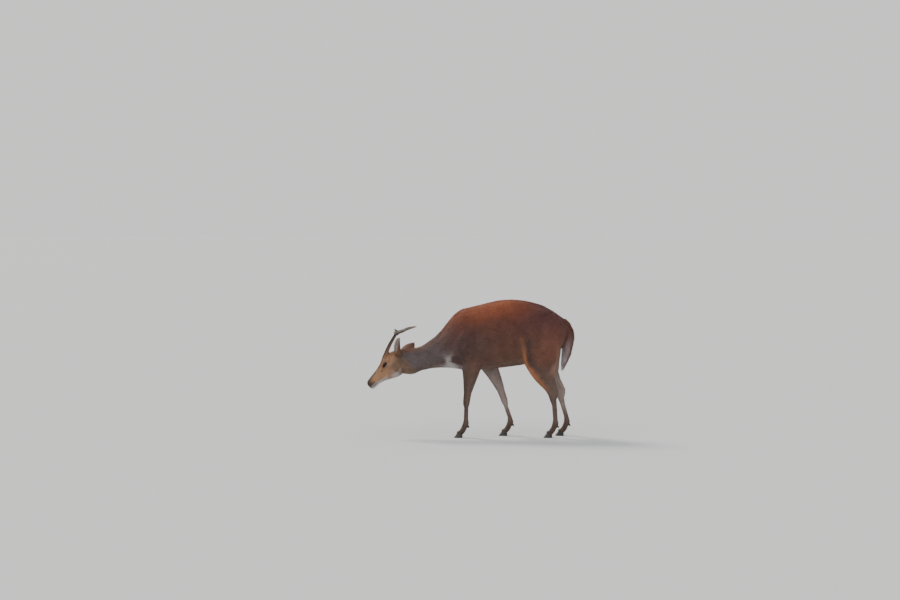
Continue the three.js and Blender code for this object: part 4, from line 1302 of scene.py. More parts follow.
def hollowness(points, normals, edges, lay):
    # how sharply the surface rises in front of a hair, so that its tuft isn't buried there
    total, weights = np.zeros(len(points)), np.full(len(points), 1e-9)
    for start, end in ((0, 1), (1, 0)):
        root = edges[:, start]
        way = points[edges[:, end]] - points[root]
        size = np.sum(way**2, axis=1)
        weight = (np.sum(way * lay[root], axis=1) ** 2 / size) ** 2
        np.add.at(total, root, weight * 2 * np.sum(way * normals[root], axis=1) / size)
        np.add.at(weights, root, weight)
    return np.maximum(spread((total / weights)[:, None], edges, 0.5, 8)[:, 0], 0)


def bareness(points, normals):
    # 1 where no hair grows: nose pad, nostrils, the mouth's line, the lids' edges and the gland's slit
    local = inHead(points)
    x, y, z = local.T
    bare = nosePad(local)
    nx, ny, nz = muzzleForms["nostril"]
    away = np.sqrt((x - nx) ** 2 + (np.abs(y) - ny) ** 2 + (z - nz) ** 2)
    bare = np.maximum(bare, 1 - smoothStep(0.0055, 0.0075, away))
    mouth = hump(z - mouthHeight(x), 0, 0.0015) * smoothStep(-0.002, 0.004, x - mouthLine["corner"][0])
    bare = np.maximum(bare, smoothStep(0.3, 0.6, mouth))
    nearEye = eyeDistance(local) < 0.024
    for sign in sides.values():
        edge = 1 - smoothStep(0.0003, 0.0010, lidDistance(local, sign)[0])
        bare = np.maximum(bare, np.where(nearEye, edge, 0) * skinLook["smooth"])
    gx, gz = faceGland["place"]
    slit = hump(x, gx, 0.010) * hump(z + 0.18 * (x - gx), gz, 0.0022) * (np.abs(normals @ headLeft) > 0.4)
    bare = np.maximum(bare, smoothStep(0.35, 0.7, slit) * skinLook["smooth"])
    return np.where(headShare(points) > 0.5, bare, 0.0)


# the parts of the coat, each a piece of its own, and how the skin is unrolled under each of them

coatParts = {
    "headLeft": "coat_face",
    "headRight": "coat_face",
    "ears": "coat_ear",
    "earHair": "coat_ear",
    "neck": "coat_neck",
    "foreLeft": "coat_body",
    "foreRight": "coat_body",
    "rearLeft": "coat_body",
    "rearRight": "coat_body",
    "foreLegs": "coat_legs",
    "hindLegs": "coat_legs",
    "foreShanks": "coat_legs",
    "hindShanks": "coat_legs",
    "tail": "coat_tail",
}  # each part's group name
partBorders = {"neck": -0.13, "rear": 0.12, "legs": 0.37, "shanks": 0.24, "nearLeg": 1.35}


def partOf(points, normals):
    # the number of the coat's part that each face of the skin belongs to
    x, y, z = points.T
    number = {name: i for i, name in enumerate(coatParts)}
    left = y < 0
    part = np.where(left, number["foreLeft"], number["foreRight"])
    part = np.where(x < partBorders["rear"], part, np.where(left, number["rearLeft"], number["rearRight"]))
    part[x < partBorders["neck"]] = number["neck"]
    for name in legNames:
        near = legNearness(points, name) < partBorders["nearLeg"]
        part[near & (z < partBorders["legs"])] = number[name[:4] + "Legs"]
        part[near & (z < partBorders["shanks"])] = number[name[:4] + "Shanks"]
    part[tailShare(points) * (z < tailHigh[2] - tailSizes["hairTop"]) > 0.5] = number["tail"]
    onHead = headShare(points) > 0.5
    part[onHead] = np.where(left, number["headLeft"], number["headRight"])[onHead]
    for side in sides:
        near = earNearness(points, side) > 0.5
        part[near] = number["ears"]
        part[near & (insideEar(points, normals, side) > 0.5)] = number["earHair"]
    return part


def roundAngle(a, b):
    # the angle round a middle line as a share of the full turn
    return np.arctan2(a, b) / (2 * math.pi) + 0.5


def unrolled(points, name):
    # a root's column on the map, how many columns there are, the way across the column and the way along it
    x, y, z = points.T
    one = np.zeros(len(points))
    if name in ("headLeft", "headRight"):
        local = inHead(points)
        onPedicle = pedicleShare(points) * (alongPedicle(points)[0] > 0.1) > 0.5
        across = np.arctan2(local[:, 1], local[:, 2] - 0.01) / (2 * math.pi) % 1
        return onPedicle * 1, 2, across, local[:, 0]
    if name in ("ears", "earHair"):
        left = lengths(inEar(points, "left")) < 0.11
        local = np.where(left[:, None], inEar(points, "left"), inEar(points, "right"))
        return left * 1, 2, roundAngle(local[:, 0], 0.03 - local[:, 1]), local[:, 2]
    if name.endswith(("Legs", "Shanks")):
        leg = np.argmin(np.stack([legNearness(points, leg) for leg in legNames], axis=1), axis=1)
        turns = np.stack([roundAngle(*legPlace(points, leg)) for leg in legNames], axis=1)
        return leg, 4, turns[np.arange(len(leg)), leg], z
    if name == "tail":
        path = tailPath(60)
        return one, 1, roundAngle(y, x - np.interp(-z, -path[:, 2], path[:, 0])), z
    middle = (np.interp(x, trunkX, trunkTop) + np.interp(x, trunkX, trunkBottom)) / 2
    return one, 1, roundAngle(y, middle - z), x


bakeMap = {"patch": 0.003, "side": 0.03, "end": 0.01}  # a tuft's size on the map and the map's margins


def bakePatches(mesh, name):
    # each tuft's patch on the map: small, at the place of its root
    roots, blades = (readRows(mesh.attributes[field].data, "vector", 3) for field in ("root", "blade"))
    column, columns, across, along = unrolled(roots.astype(float), name)
    along = (along - along.min()) / max(along.max() - along.min(), 1e-6)
    side, end = bakeMap["side"], bakeMap["end"]
    across = (column + side + (1 - 2 * side) * across) / columns
    place = np.stack([across, end + (1 - 2 * end) * along], axis=1)
    place += (blades[:, :2] - 0.5) * bakeMap["patch"]
    corners = readRows(mesh.loops, "vertex_index", 1, np.int32)[:, 0]
    layer = mesh.uv_layers.new(name="OFBake")
    layer.data.foreach_set("uv", place[corners].astype(np.float32).ravel())
    mesh.attributes.remove(mesh.attributes["root"])


def setValues(mesh, name, kind, values):
    attribute = mesh.attributes.new(name, kind, "POINT")
    field = {"FLOAT_VECTOR": "vector", "FLOAT_COLOR": "color"}.get(kind, "value")
    attribute.data.foreach_set(field, np.ascontiguousarray(values, np.float32).ravel())


hairFields = ("hairLength", "hairWidth", "hairDensity", "hairLift")
liftFields = {"share": 0.8, "most": 0.5}


def skinFields(mesh):
    # the skin's colours and masks, and what its tufts grow by
    points, normals, edges = placesOf(mesh), normalsOf(mesh), edgesOf(mesh)
    bare = bareness(points, normals)
    colour = spread(coatShades(points, normals), edges, 0.5 * (1 - bare), 1)
    setValues(mesh, "coatColour", "FLOAT_COLOR", np.hstack([colour, np.ones((len(points), 1))]))
    setValues(mesh, "bare", "FLOAT", bare)
    setValues(mesh, "onLeg", "FLOAT", legShare(points))
    setValues(mesh, "onHead", "FLOAT", headShare(points))
    length, width, density, lift = hairFigures(points, normals, bare)
    lay = hairLay(points, normals, edges)
    hollow = hollowness(points, normals, edges, lay) * length
    lift = lift + np.clip(hollow * liftFields["share"], 0, liftFields["most"])
    for name, values in zip(hairFields, (length, width, density, lift)):
        setValues(mesh, name, "FLOAT", values)
    setValues(mesh, "lay", "FLOAT_VECTOR", lay)
    part = partOf(*(readRows(mesh.polygons, field, 3).astype(float) for field in ("center", "normal")))
    attribute = mesh.attributes.new("coatPart", "INT", "FACE")
    attribute.data.foreach_set("value", part.astype(np.int32))
    print("the skin's colours, masks and lie of the hair are set")


# a tuft: thin blades side by side, a metre long and a metre wide, scaled where it grows

tuftSizes = {
    "blades": 3,
    "spacing": 0.34,
    "splay": 0.55,
    "bladeShare": 0.42,
    "outerShorter": 0.13,
    "nextShorter": 0.05,
    "turn": 0.22,
    "tailTurn": 0.3,
    "earHairWhite": 0.55,
}
tuftForms = {
    "short": [(-0.04, 1.0, -0.03), (0.5, 0.85, 0.085), (1.0, 0.0, 0.06)],
    "long": [
        (-0.03, 1.0, -0.02),
        (0.22, 1.05, 0.075),
        (0.48, 0.95, 0.10),
        (0.76, 0.62, 0.065),
        (1.0, 0.0, -0.02),
    ],
}  # way along, share of the width and height of each ring


def makeTuft(name):
    points, faces, blades = [], [], []
    for blade in range(tuftSizes["blades"]):
        aside = blade - (tuftSizes["blades"] - 1) / 2
        reach = 1 - tuftSizes["outerShorter"] * abs(aside) - tuftSizes["nextShorter"] * blade
        start = len(points)
        for along, wide, high in tuftForms[name]:
            middle = aside * (tuftSizes["spacing"] + tuftSizes["splay"] * along**2)
            for edge in (0,) if wide == 0 else (-1, 1):
                across = middle + edge * wide * tuftSizes["bladeShare"] / 2
                points.append((along * reach, across, high * reach - 0.01 * abs(aside)))
                blades.append((max(along, 0), 0.5 + 0.5 * edge * wide, blade))
        rings = len(tuftForms[name]) - 1
        for ring in range(rings):
            a = start + 2 * ring
            faces.append([a, a + 2, a + 1] if ring == rings - 1 else [a, a + 2, a + 3, a + 1])
    mesh = smoothShaded(newMesh(name, points, faces))
    setValues(mesh, "blade", "FLOAT_VECTOR", np.array(blades))
    return newObject(name, mesh)


# trees of nodes

def addNode(tree, kind, **settings):
    node = tree.nodes.new(kind)
    for name, value in settings.items():
        setattr(node, name, value)
    return node


def socketOf(tree, name, kind, isInput=True, value=None):
    socket = tree.interface.new_socket(name, in_out="INPUT" if isInput else "OUTPUT", socket_type=kind)
    if value is not None:
        socket.default_value = value
    return socket


def namedField(tree, name, kind):
    node = addNode(tree, "GeometryNodeInputNamedAttribute", data_type=kind)
    node.inputs["Name"].default_value = name
    return node.outputs["Attribute"]


def randomField(tree, low, high, seed):
    node = addNode(tree, "FunctionNodeRandomValue", data_type="FLOAT")
    node.inputs["Min_001" if "Min_001" in node.inputs else 2].default_value = low
    node.inputs["Max_001" if "Max_001" in node.inputs else 3].default_value = high
    tree.links.new(seed, node.inputs["Seed"])
    return node.outputs[1]


def mathField(tree, operation, first, second):
    node = addNode(tree, "ShaderNodeMath", operation=operation)
    for socket, value in zip(node.inputs, (first, second)):
        if isinstance(value, (int, float)):
            socket.default_value = value
        else:
            tree.links.new(value, socket)
    return node.outputs[0]


def tuftTree():
    # tufts of the chosen form over one part of the skin, turned along the lie of the hair, as plain mesh
    tree = bpy.data.node_groups.new("tuftCoat", "GeometryNodeTree")
    socketOf(tree, "Geometry", "NodeSocketGeometry")
    socketOf(tree, "Skin", "NodeSocketObject")
    socketOf(tree, "Tuft", "NodeSocketObject")
    socketOf(tree, "Part", "NodeSocketInt", value=0)
    socketOf(tree, "Seed", "NodeSocketInt", value=1)
    socketOf(tree, "Turn", "NodeSocketFloat", value=0.2)
    socketOf(tree, "Material", "NodeSocketMaterial")
    socketOf(tree, "Geometry", "NodeSocketGeometry", isInput=False)
    given = addNode(tree, "NodeGroupInput").outputs
    link = tree.links.new
    seeds = [mathField(tree, "ADD", given["Seed"], step) for step in range(8)]

    def varied(name, low, high, seed):
        value = namedField(tree, name, "FLOAT")
        return mathField(tree, "MULTIPLY", value, randomField(tree, low, high, seed))

    skinNode = addNode(tree, "GeometryNodeObjectInfo")
    link(given["Skin"], skinNode.inputs["Object"])
    sameNode = addNode(tree, "FunctionNodeCompare", data_type="INT", operation="EQUAL")
    whole = [socket for socket in sameNode.inputs if socket.type == "INT" and socket.enabled]
    link(namedField(tree, "coatPart", "INT"), whole[0])
    link(given["Part"], whole[1])
    spreadNode = addNode(tree, "GeometryNodeDistributePointsOnFaces", distribute_method="RANDOM")
    link(skinNode.outputs["Geometry"], spreadNode.inputs["Mesh"])
    link(sameNode.outputs["Result"], spreadNode.inputs["Selection"])
    link(namedField(tree, "hairDensity", "FLOAT"), spreadNode.inputs["Density"])
    link(seeds[0], spreadNode.inputs["Seed"])

    rootNode = addNode(tree, "GeometryNodeStoreNamedAttribute", data_type="FLOAT_VECTOR", domain="POINT")
    rootNode.inputs["Name"].default_value = "root"
    link(spreadNode.outputs["Points"], rootNode.inputs["Geometry"])
    link(addNode(tree, "GeometryNodeInputPosition").outputs["Position"], rootNode.inputs["Value"])
    shadeNode = addNode(tree, "GeometryNodeStoreNamedAttribute", data_type="FLOAT", domain="POINT")
    shadeNode.inputs["Name"].default_value = "tuftShade"
    link(rootNode.outputs["Geometry"], shadeNode.inputs["Geometry"])
    link(randomField(tree, 0, 1, seeds[1]), shadeNode.inputs["Value"])

    axesNode = addNode(tree, "FunctionNodeAxesToRotation", primary_axis="Z", secondary_axis="X")
    link(spreadNode.outputs["Normal"], axesNode.inputs["Primary Axis"])
    link(namedField(tree, "lay", "FLOAT_VECTOR"), axesNode.inputs["Secondary Axis"])
    turnNode = addNode(tree, "ShaderNodeCombineXYZ")
    turned = randomField(tree, -1, 1, seeds[2])
    link(mathField(tree, "MULTIPLY", turned, given["Turn"]), turnNode.inputs["Z"])
    link(varied("hairLift", -1.9, -0.25, seeds[3]), turnNode.inputs["Y"])
    link(mathField(tree, "MULTIPLY", randomField(tree, -1, 1, seeds[4]), 0.35), turnNode.inputs["X"])
    asRotation = addNode(tree, "FunctionNodeEulerToRotation")
    link(turnNode.outputs["Vector"], asRotation.inputs["Euler"])
    rotateNode = addNode(tree, "FunctionNodeRotateRotation", rotation_space="LOCAL")
    link(axesNode.outputs["Rotation"], rotateNode.inputs["Rotation"])
    link(asRotation.outputs["Rotation"], rotateNode.inputs["Rotate By"])

    sizeNode = addNode(tree, "ShaderNodeCombineXYZ")
    length = varied("hairLength", 0.7, 1.2, seeds[5])
    link(length, sizeNode.inputs["X"])
    link(varied("hairWidth", 0.8, 1.2, seeds[6]), sizeNode.inputs["Y"])
    link(length, sizeNode.inputs["Z"])
    tuftNode = addNode(tree, "GeometryNodeObjectInfo")
    link(given["Tuft"], tuftNode.inputs["Object"])
    tuftNode.inputs["As Instance"].default_value = True
    placeNode = addNode(tree, "GeometryNodeInstanceOnPoints")
    link(shadeNode.outputs["Geometry"], placeNode.inputs["Points"])
    link(tuftNode.outputs["Geometry"], placeNode.inputs["Instance"])
    link(rotateNode.outputs["Rotation"], placeNode.inputs["Rotation"])
    link(sizeNode.outputs["Vector"], placeNode.inputs["Scale"])
    realNode = addNode(tree, "GeometryNodeRealizeInstances")
    link(placeNode.outputs["Instances"], realNode.inputs["Geometry"])
    paintNode = addNode(tree, "GeometryNodeSetMaterial")
    link(realNode.outputs["Geometry"], paintNode.inputs["Geometry"])
    link(given["Material"], paintNode.inputs["Material"])
    link(paintNode.outputs["Geometry"], addNode(tree, "NodeGroupOutput").inputs["Geometry"])
    return tree


def lighten(mesh, share):
    colours = readRows(mesh.attributes["coatColour"].data, "color", 4)
    colours[:, :3] += (np.array(coatPalette["white"]) - colours[:, :3]) * share
    mesh.attributes["coatColour"].data.foreach_set("color", colours.ravel())


def groomPart(part, tree, tuft, material, turn):
    # one piece of the coat, its tufts grown and turned into plain mesh
    name, number = "coat_" + part, list(coatParts).index(part)
    obj = newObject(name, bpy.data.meshes.new(name))
    modifier = obj.modifiers.new("tufts", "NODES")
    modifier.node_group = tree
    given = {
        "Skin": skin,
        "Tuft": tuft,
        "Part": number,
        "Seed": 10 * number + 3,
        "Turn": turn,
        "Material": material,
    }
    for item in tree.interface.items_tree:
        if item.item_type == "SOCKET" and item.in_out == "INPUT" and item.name in given:
            modifier[item.identifier] = given[item.name]
    mesh = plainMesh(obj, name)
    for unused in (*hairFields, "lay", "bare", "onLeg", "onHead", "coatPart"):
        if unused in mesh.attributes:
            mesh.attributes.remove(mesh.attributes[unused])
    if part == "earHair":
        lighten(mesh, tuftSizes["earHairWhite"])
    bakePatches(mesh, part)
    mesh.calc_loop_triangles()
    print(f"{name}: {len(mesh.loop_triangles)} triangles")
    finishPiece(name, smoothShaded(mesh))


# materials

def newMaterial(name):
    material = bpy.data.materials.new(name)
    material.use_nodes = True
    return material, material.node_tree, material.node_tree.nodes["Principled BSDF"]


def attributeNode(tree, name):
    return addNode(tree, "ShaderNodeAttribute", attribute_name=name, attribute_type="GEOMETRY")


def mixColour(tree, blend, factor, first, second):
    node = addNode(tree, "ShaderNodeMix", data_type="RGBA", blend_type=blend)
    for socket, value in ((node.inputs[0], factor), (node.inputs[6], first), (node.inputs[7], second)):
        if isinstance(value, (int, float, tuple)):
            socket.default_value = value
        else:
            tree.links.new(value, socket)
    return node.outputs[2]


def ranged(tree, value, low, high, outLow, outHigh):
    node = addNode(tree, "ShaderNodeMapRange")
    tree.links.new(value, node.inputs["Value"])
    for name, number in (("From Min", low), ("From Max", high), ("To Min", outLow), ("To Max", outHigh)):
        node.inputs[name].default_value = number
    return node.outputs["Result"]


def noiseNode(tree, scale, stretch=(1, 1, 1), detail=3, turn=(0, 0, 0)):
    place = addNode(tree, "ShaderNodeTexCoord")
    mapping = addNode(tree, "ShaderNodeMapping")
    mapping.inputs["Scale"].default_value = stretch
    mapping.inputs["Rotation"].default_value = turn
    noise = addNode(tree, "ShaderNodeTexNoise")
    noise.inputs["Scale"].default_value = scale
    noise.inputs["Detail"].default_value = detail
    tree.links.new(place.outputs["Object"], mapping.inputs["Vector"])
    tree.links.new(mapping.outputs["Vector"], noise.inputs["Vector"])
    return noise.outputs["Fac"]


def bumpInto(tree, height, strength, distance, shader):
    bump = addNode(tree, "ShaderNodeBump")
    bump.inputs["Strength"].default_value = strength
    bump.inputs["Distance"].default_value = distance
    tree.links.new(height, bump.inputs["Height"])
    tree.links.new(bump.outputs["Normal"], shader.inputs["Normal"])


# darker roots and lighter tips: partly the hair's own banding, partly painted shade deep in the coat
furLook = {"rootShade": 0.66, "tipShade": 1.16, "least": 0.8, "most": 1.22, "patch": 0.14, "roughness": 0.6}


def hairToneGroup():
    # the colour of a hair from the coat's colour, the way along the hair, darker at the root as the hair's
    # banding and as painted shade deep in the coat, and its tuft's own shade
    tree = bpy.data.node_groups.new("hairTone", "ShaderNodeTree")
    socketOf(tree, "Colour", "NodeSocketColor")
    socketOf(tree, "Along", "NodeSocketFloat", value=0.5)
    socketOf(tree, "Shade", "NodeSocketFloat", value=0.5)
    socketOf(tree, "Colour", "NodeSocketColor", isInput=False)
    given = addNode(tree, "NodeGroupInput").outputs
    along = ranged(tree, given["Along"], 0.0, 0.9, furLook["rootShade"], furLook["tipShade"])
    shade = ranged(tree, given["Shade"], 0.0, 1.0, furLook["least"], furLook["most"])
    patches = ranged(tree, noiseNode(tree, 22), 0.3, 0.7, 1 - furLook["patch"], 1 + furLook["patch"])
    value = mathField(tree, "MULTIPLY", mathField(tree, "MULTIPLY", along, shade), patches)
    node = addNode(tree, "ShaderNodeVectorMath", operation="SCALE")
    tree.links.new(given["Colour"], node.inputs[0])
    tree.links.new(value, node.inputs["Scale"])
    tree.links.new(node.outputs["Vector"], addNode(tree, "NodeGroupOutput").inputs["Colour"])
    return tree


def furMaterial(name, tone):
    material, tree, shader = newMaterial(name)
    group = addNode(tree, "ShaderNodeGroup", node_tree=tone)
    blade = addNode(tree, "ShaderNodeSeparateXYZ")
    tree.links.new(attributeNode(tree, "blade").outputs["Vector"], blade.inputs["Vector"])
    tree.links.new(attributeNode(tree, "coatColour").outputs["Color"], group.inputs["Colour"])
    tree.links.new(blade.outputs["X"], group.inputs["Along"])
    tree.links.new(attributeNode(tree, "tuftShade").outputs["Fac"], group.inputs["Shade"])
    tree.links.new(group.outputs["Colour"], shader.inputs["Base Color"])
    shader.inputs["Roughness"].default_value = furLook["roughness"]
    shader.inputs["Specular IOR Level"].default_value = 0.2
    shader.inputs["Sheen Weight"].default_value = 0.06
    shader.inputs["Sheen Roughness"].default_value = 0.5
    return material


def paintSkin(material, tone):
    material.use_nodes = True
    tree = material.node_tree
    shader = tree.nodes["Principled BSDF"]
    group = addNode(tree, "ShaderNodeGroup", node_tree=tone)
    tree.links.new(attributeNode(tree, "coatColour").outputs["Color"], group.inputs["Colour"])
    mask = attributeNode(tree, "bare").outputs["Fac"]
    bare = ranged(tree, mask, 0, skinLook["smooth"], 0, 1)
    pebbled = ranged(tree, mask, skinLook["smooth"] + 0.02, 1, 0, 1)
    leg, head = attributeNode(tree, "onLeg").outputs["Fac"], attributeNode(tree, "onHead").outputs["Fac"]
    alongTrunk = noiseNode(tree, 420, (0.12, 1, 0.8), 4)
    alongLeg = noiseNode(tree, 520, (1, 1, 0.14), 4)
    alongHead = noiseNode(tree, 900, (0.16, 1, 1), 4, (0, headSizes["pitch"], 0))
    streak = mixColour(tree, "MIX", leg, alongTrunk, alongLeg)
    streak = mixColour(tree, "MIX", head, streak, alongHead)
    pebbles = addNode(tree, "ShaderNodeTexVoronoi", feature="DISTANCE_TO_EDGE")
    pebbles.inputs["Scale"].default_value = 900
    tree.links.new(addNode(tree, "ShaderNodeTexCoord").outputs["Object"], pebbles.inputs["Vector"])
    shade = mixColour(tree, "MIX", bare, streak, (0.5, 0.5, 0.5, 1))
    grain = ranged(tree, pebbles.outputs["Distance"], 0, 0.2, 0.3, 0.5)
    height = mixColour(tree, "MIX", pebbled, shade, grain)
    tree.links.new(shade, group.inputs["Shade"])
    # the skin takes the darker colour of the hairs' roots, painted shade under the coat
    group.inputs["Along"].default_value = 0.35
    colour = mixColour(tree, "MIX", bare, group.outputs["Colour"], (*skinLook["bareColour"], 1))
    tree.links.new(colour, shader.inputs["Base Color"])
    rough = ranged(tree, bare, 0, 1, skinLook["hairRough"], skinLook["bareRough"])
    tree.links.new(rough, shader.inputs["Roughness"])
    shader.inputs["Specular IOR Level"].default_value = 0.3
    bumpInto(tree, height, 0.7, 0.0012, shader)


def makeCoat():
    tone = hairToneGroup()
    paintSkin(skinMaterial, tone)
    skinFields(skin.data)
    tree = tuftTree()
    fur = furMaterial("furHair", tone)
    tufts = {form: makeTuft(form) for form in tuftForms}
    for part in coatParts:
        form = "long" if part in ("tail", "earHair") else "short"
        groomPart(part, tree, tufts[form], fur, tuftSizes["tailTurn" if part == "tail" else "turn"])
    for tuft in tufts.values():
        bpy.data.objects.remove(tuft)
    for used in (*hairFields, "lay", "coatPart"):
        skin.data.attributes.remove(skin.data.attributes[used])


makeCoat()


# eyes: a ball with a bulging front, painted in its own directions

eyeLook = {
    "gaze": (0.3, 1.0, 0.06),
    "bulge": 0.0007,
    "iris": 0.62,
    "pupilWide": 0.40,
    "pupilHigh": 0.19,
    "irisColour": (0.035, 0.014, 0.006),
    "rimColour": (0.012, 0.006, 0.004),
    "pupilColour": (0.002, 0.002, 0.003),
    "ballColour": (0.04, 0.025, 0.018),
}


def makeEye(side, sign, material):
    gaze = unit(headSpot(eyeLook["gaze"], sign) - headPlace)
    up = np.array([0, 0, 1.0]) - gaze * gaze[2]
    axes = np.array([np.cross(unit(up), gaze), unit(up), gaze])
    rings, count = 40, 56
    angle = np.linspace(0, math.pi, rings + 1)
    radius = headSizes["eyeRadius"] - 0.0001 + eyeLook["bulge"] * (1 - smoothStep(0.3, 0.75, angle))
    turn = np.linspace(0, 2 * math.pi, count, endpoint=False)
    circle = np.stack([np.cos(turn), np.sin(turn)], axis=1)
    rows = [np.array([[0, 0, radius[0]]])]
    for a, r in zip(angle[1:-1], radius[1:-1]):
        rows.append(np.column_stack([r * math.sin(a) * circle, np.full(count, r * math.cos(a))]))
    local = np.vstack([*rows, [[0, 0, -radius[-1]]]])
    last = len(local) - 1
    faces = []
    for k in range(count):
        n = (k + 1) % count
        faces.append([0, 1 + k, 1 + n])
        for i in range(rings - 2):
            a = 1 + i * count
            faces.append([a + k, a + count + k, a + count + n, a + n])
        faces.append([last, last - count + n, last - count + k])
    middle = headSpot(headSizes["eye"], sign)
    mesh = smoothShaded(closedMesh("eye_" + side, local @ axes + middle, faces))
    places = placesOf(mesh) - middle
    setValues(mesh, "gazePlace", "FLOAT_VECTOR", places @ axes.T / headSizes["eyeRadius"])
    finishPiece("eyeball_" + side, mesh, ["eye_" + side], material)


def eyeMaterial():
    material, tree, shader = newMaterial("eyeDark")
    part = addNode(tree, "ShaderNodeSeparateXYZ")
    place = attributeNode(tree, "gazePlace").outputs["Vector"]
    tree.links.new(place, part.inputs["Vector"])
    wide, high = part.outputs["X"], part.outputs["Y"]

    def squared(value, size):
        share = mathField(tree, "ABSOLUTE", mathField(tree, "DIVIDE", value, size), 0)
        return mathField(tree, "POWER", share, 2.0)

    def ellipse(a, b):
        return mathField(tree, "SQRT", mathField(tree, "ADD", squared(wide, a), squared(high, b)), 0)

    fibres = addNode(tree, "ShaderNodeTexNoise")
    fibres.inputs["Scale"].default_value = 9.0
    fibres.inputs["Detail"].default_value = 4
    tree.links.new(place, fibres.inputs["Vector"])
    rim, iris, ball, pupil = ((*eyeLook[name + "Colour"], 1) for name in ("rim", "iris", "ball", "pupil"))
    colour = mixColour(tree, "MIX", ranged(tree, fibres.outputs["Fac"], 0.35, 0.65, 0, 1), rim, iris)
    fromIris = ellipse(eyeLook["iris"], eyeLook["iris"])
    colour = mixColour(tree, "MIX", ranged(tree, fromIris, 0.8, 1.0, 0, 1), colour, rim)
    colour = mixColour(tree, "MIX", ranged(tree, fromIris, 1.03, 1.2, 0, 1), colour, ball)
    fromPupil = ellipse(eyeLook["pupilWide"], eyeLook["pupilHigh"])
    colour = mixColour(tree, "MIX", ranged(tree, fromPupil, 0.85, 1.1, 0, 1), pupil, colour)
    tree.links.new(colour, shader.inputs["Base Color"])
    shader.inputs["Roughness"].default_value = 0.06
    shader.inputs["Specular IOR Level"].default_value = 0.22
    return material


eyeDark = eyeMaterial()
for side, sign in sides.items():
    makeEye(side, sign, eyeDark)


# antlers: a knobbed burr, a fluted beam that sweeps back and hooks at its tip, and a short brow tine

antlerSizes = {
    "path": [
        (-0.051, 0.037, 0.097),
        (-0.061, 0.042, 0.096),
        (-0.080, 0.050, 0.0875),
        (-0.103, 0.055, 0.080),
        (-0.123, 0.054, 0.070),
        (-0.143, 0.047, 0.059),
    ],
    "reach": 0.105,
    "radii": (0.0072, 0.0052, 0.0009),
    "middleAt": 0.35,
    "taper": 1.6,
    "flutes": 7,
    "fluteDepth": 0.07,
    "tineAt": 0.13,
    "tineLength": 0.025,
    "tineRadii": (0.0050, 0.0009),
    "tineLean": (0.25, -0.3, 1.0),
    "tineHook": 0.003,
    "burrRadius": 0.0118,
    "burrHeight": 0.0072,
    "knobs": 13,
    "pearls": 70,
    "voxel": 0.00055,
}


def antlerRadius(u, angle):
    foot, middle, tip = antlerSizes["radii"]
    at = antlerSizes["middleAt"]
    low = foot + (middle - foot) * np.minimum(u / at, 1)
    high = middle + (tip - middle) * np.clip((u - at) / (1 - at), 0, 1) ** antlerSizes["taper"]
    flutes = 1 + antlerSizes["fluteDepth"] * np.cos(antlerSizes["flutes"] * angle + 3 * u) * (1 - u) ** 0.7
    flutes = flutes + 0.03 * np.sin(23 * u + 2 * np.cos(angle)) * (1 - u)
    return np.where(u < at, low, high) * flutes


def makeAntler(side, sign, material):
    mirror = np.array([1, sign, 1])
    path = smoothPath(fromHead(np.array(antlerSizes["path"]) * mirror), 90)
    way = unit(headSpot(pedicleEnds["top"], sign) - headSpot(pedicleEnds["foot"], sign))
    top = path[0]
    shapes = [tubeShape(path, antlerRadius, 40, (0, 1, 0.1))]
    foot = path[int(antlerSizes["tineAt"] * len(path))]
    lean = unit(np.array(antlerSizes["tineLean"]) * mirror) @ headAxes
    t = np.linspace(0, 1, 20)[:, None]
    tine = foot + lean * t * antlerSizes["tineLength"] - headForward * antlerSizes["tineHook"] * t**2
    first, last = antlerSizes["tineRadii"]

    def tineRadius(u, angle):
        return (first + (last - first) * u**0.8) * (1 + 0.06 * np.cos(5 * angle))

    shapes.append(tubeShape(tine, tineRadius, 24))
    burr = np.array([top + way * h * antlerSizes["burrHeight"] for h in np.linspace(-0.25, 0.9, 12)])

    def burrRadius(u, angle):
        round = np.sqrt(np.clip(1 - ((u - 0.42) / 0.6) ** 2, 0.12, 1))
        lumps = 1 + 0.09 * np.cos(antlerSizes["knobs"] * angle + 5 * u) + 0.05 * np.cos(5 * angle - 3 * u)
        return antlerSizes["burrRadius"] * round * lumps

    shapes.append(tubeShape(burr, burrRadius, 72))
    chance = np.random.default_rng(7 + int(sign))
    across, out = pathFrames(path, (0, 1, 0.1))
    for _ in range(antlerSizes["pearls"]):
        u, angle = chance.uniform(0.02, 0.42) ** 1.2, chance.uniform(0, 2 * math.pi)
        i = int(u * (len(path) - 1))
        radius = float(antlerRadius(np.array(u), np.array(angle)))
        at = path[i] + radius * (across[i] * math.cos(angle) + out[i] * math.sin(angle))
        shapes.append(sphereShape(at, chance.uniform(0.0006, 0.0013), 8))
    mesh = remeshed(newMesh("antler", *joinShapes(shapes)), "antler_" + side, antlerSizes["voxel"])
    keepLargest(mesh)
    setPlaces(mesh, spread(placesOf(mesh), edgesOf(mesh), 0.5, 2))
    setValues(mesh, "along", "FLOAT", np.clip(lengths(placesOf(mesh) - top) / antlerSizes["reach"], 0, 1))
    replaced = ["antler_beam_" + side, "antler_brow_tine_" + side]
    finishPiece("antler_" + side, smoothShaded(mesh), replaced, material)


antlerLook = {
    "groove": (0.022, 0.015, 0.012, 1),
    "ridge": (0.11, 0.076, 0.05, 1),
    "stain": (0.035, 0.023, 0.017, 1),
    "tip": (0.27, 0.215, 0.16, 1),
    "stainShare": 0.45,
    "tipShare": 0.8,
}


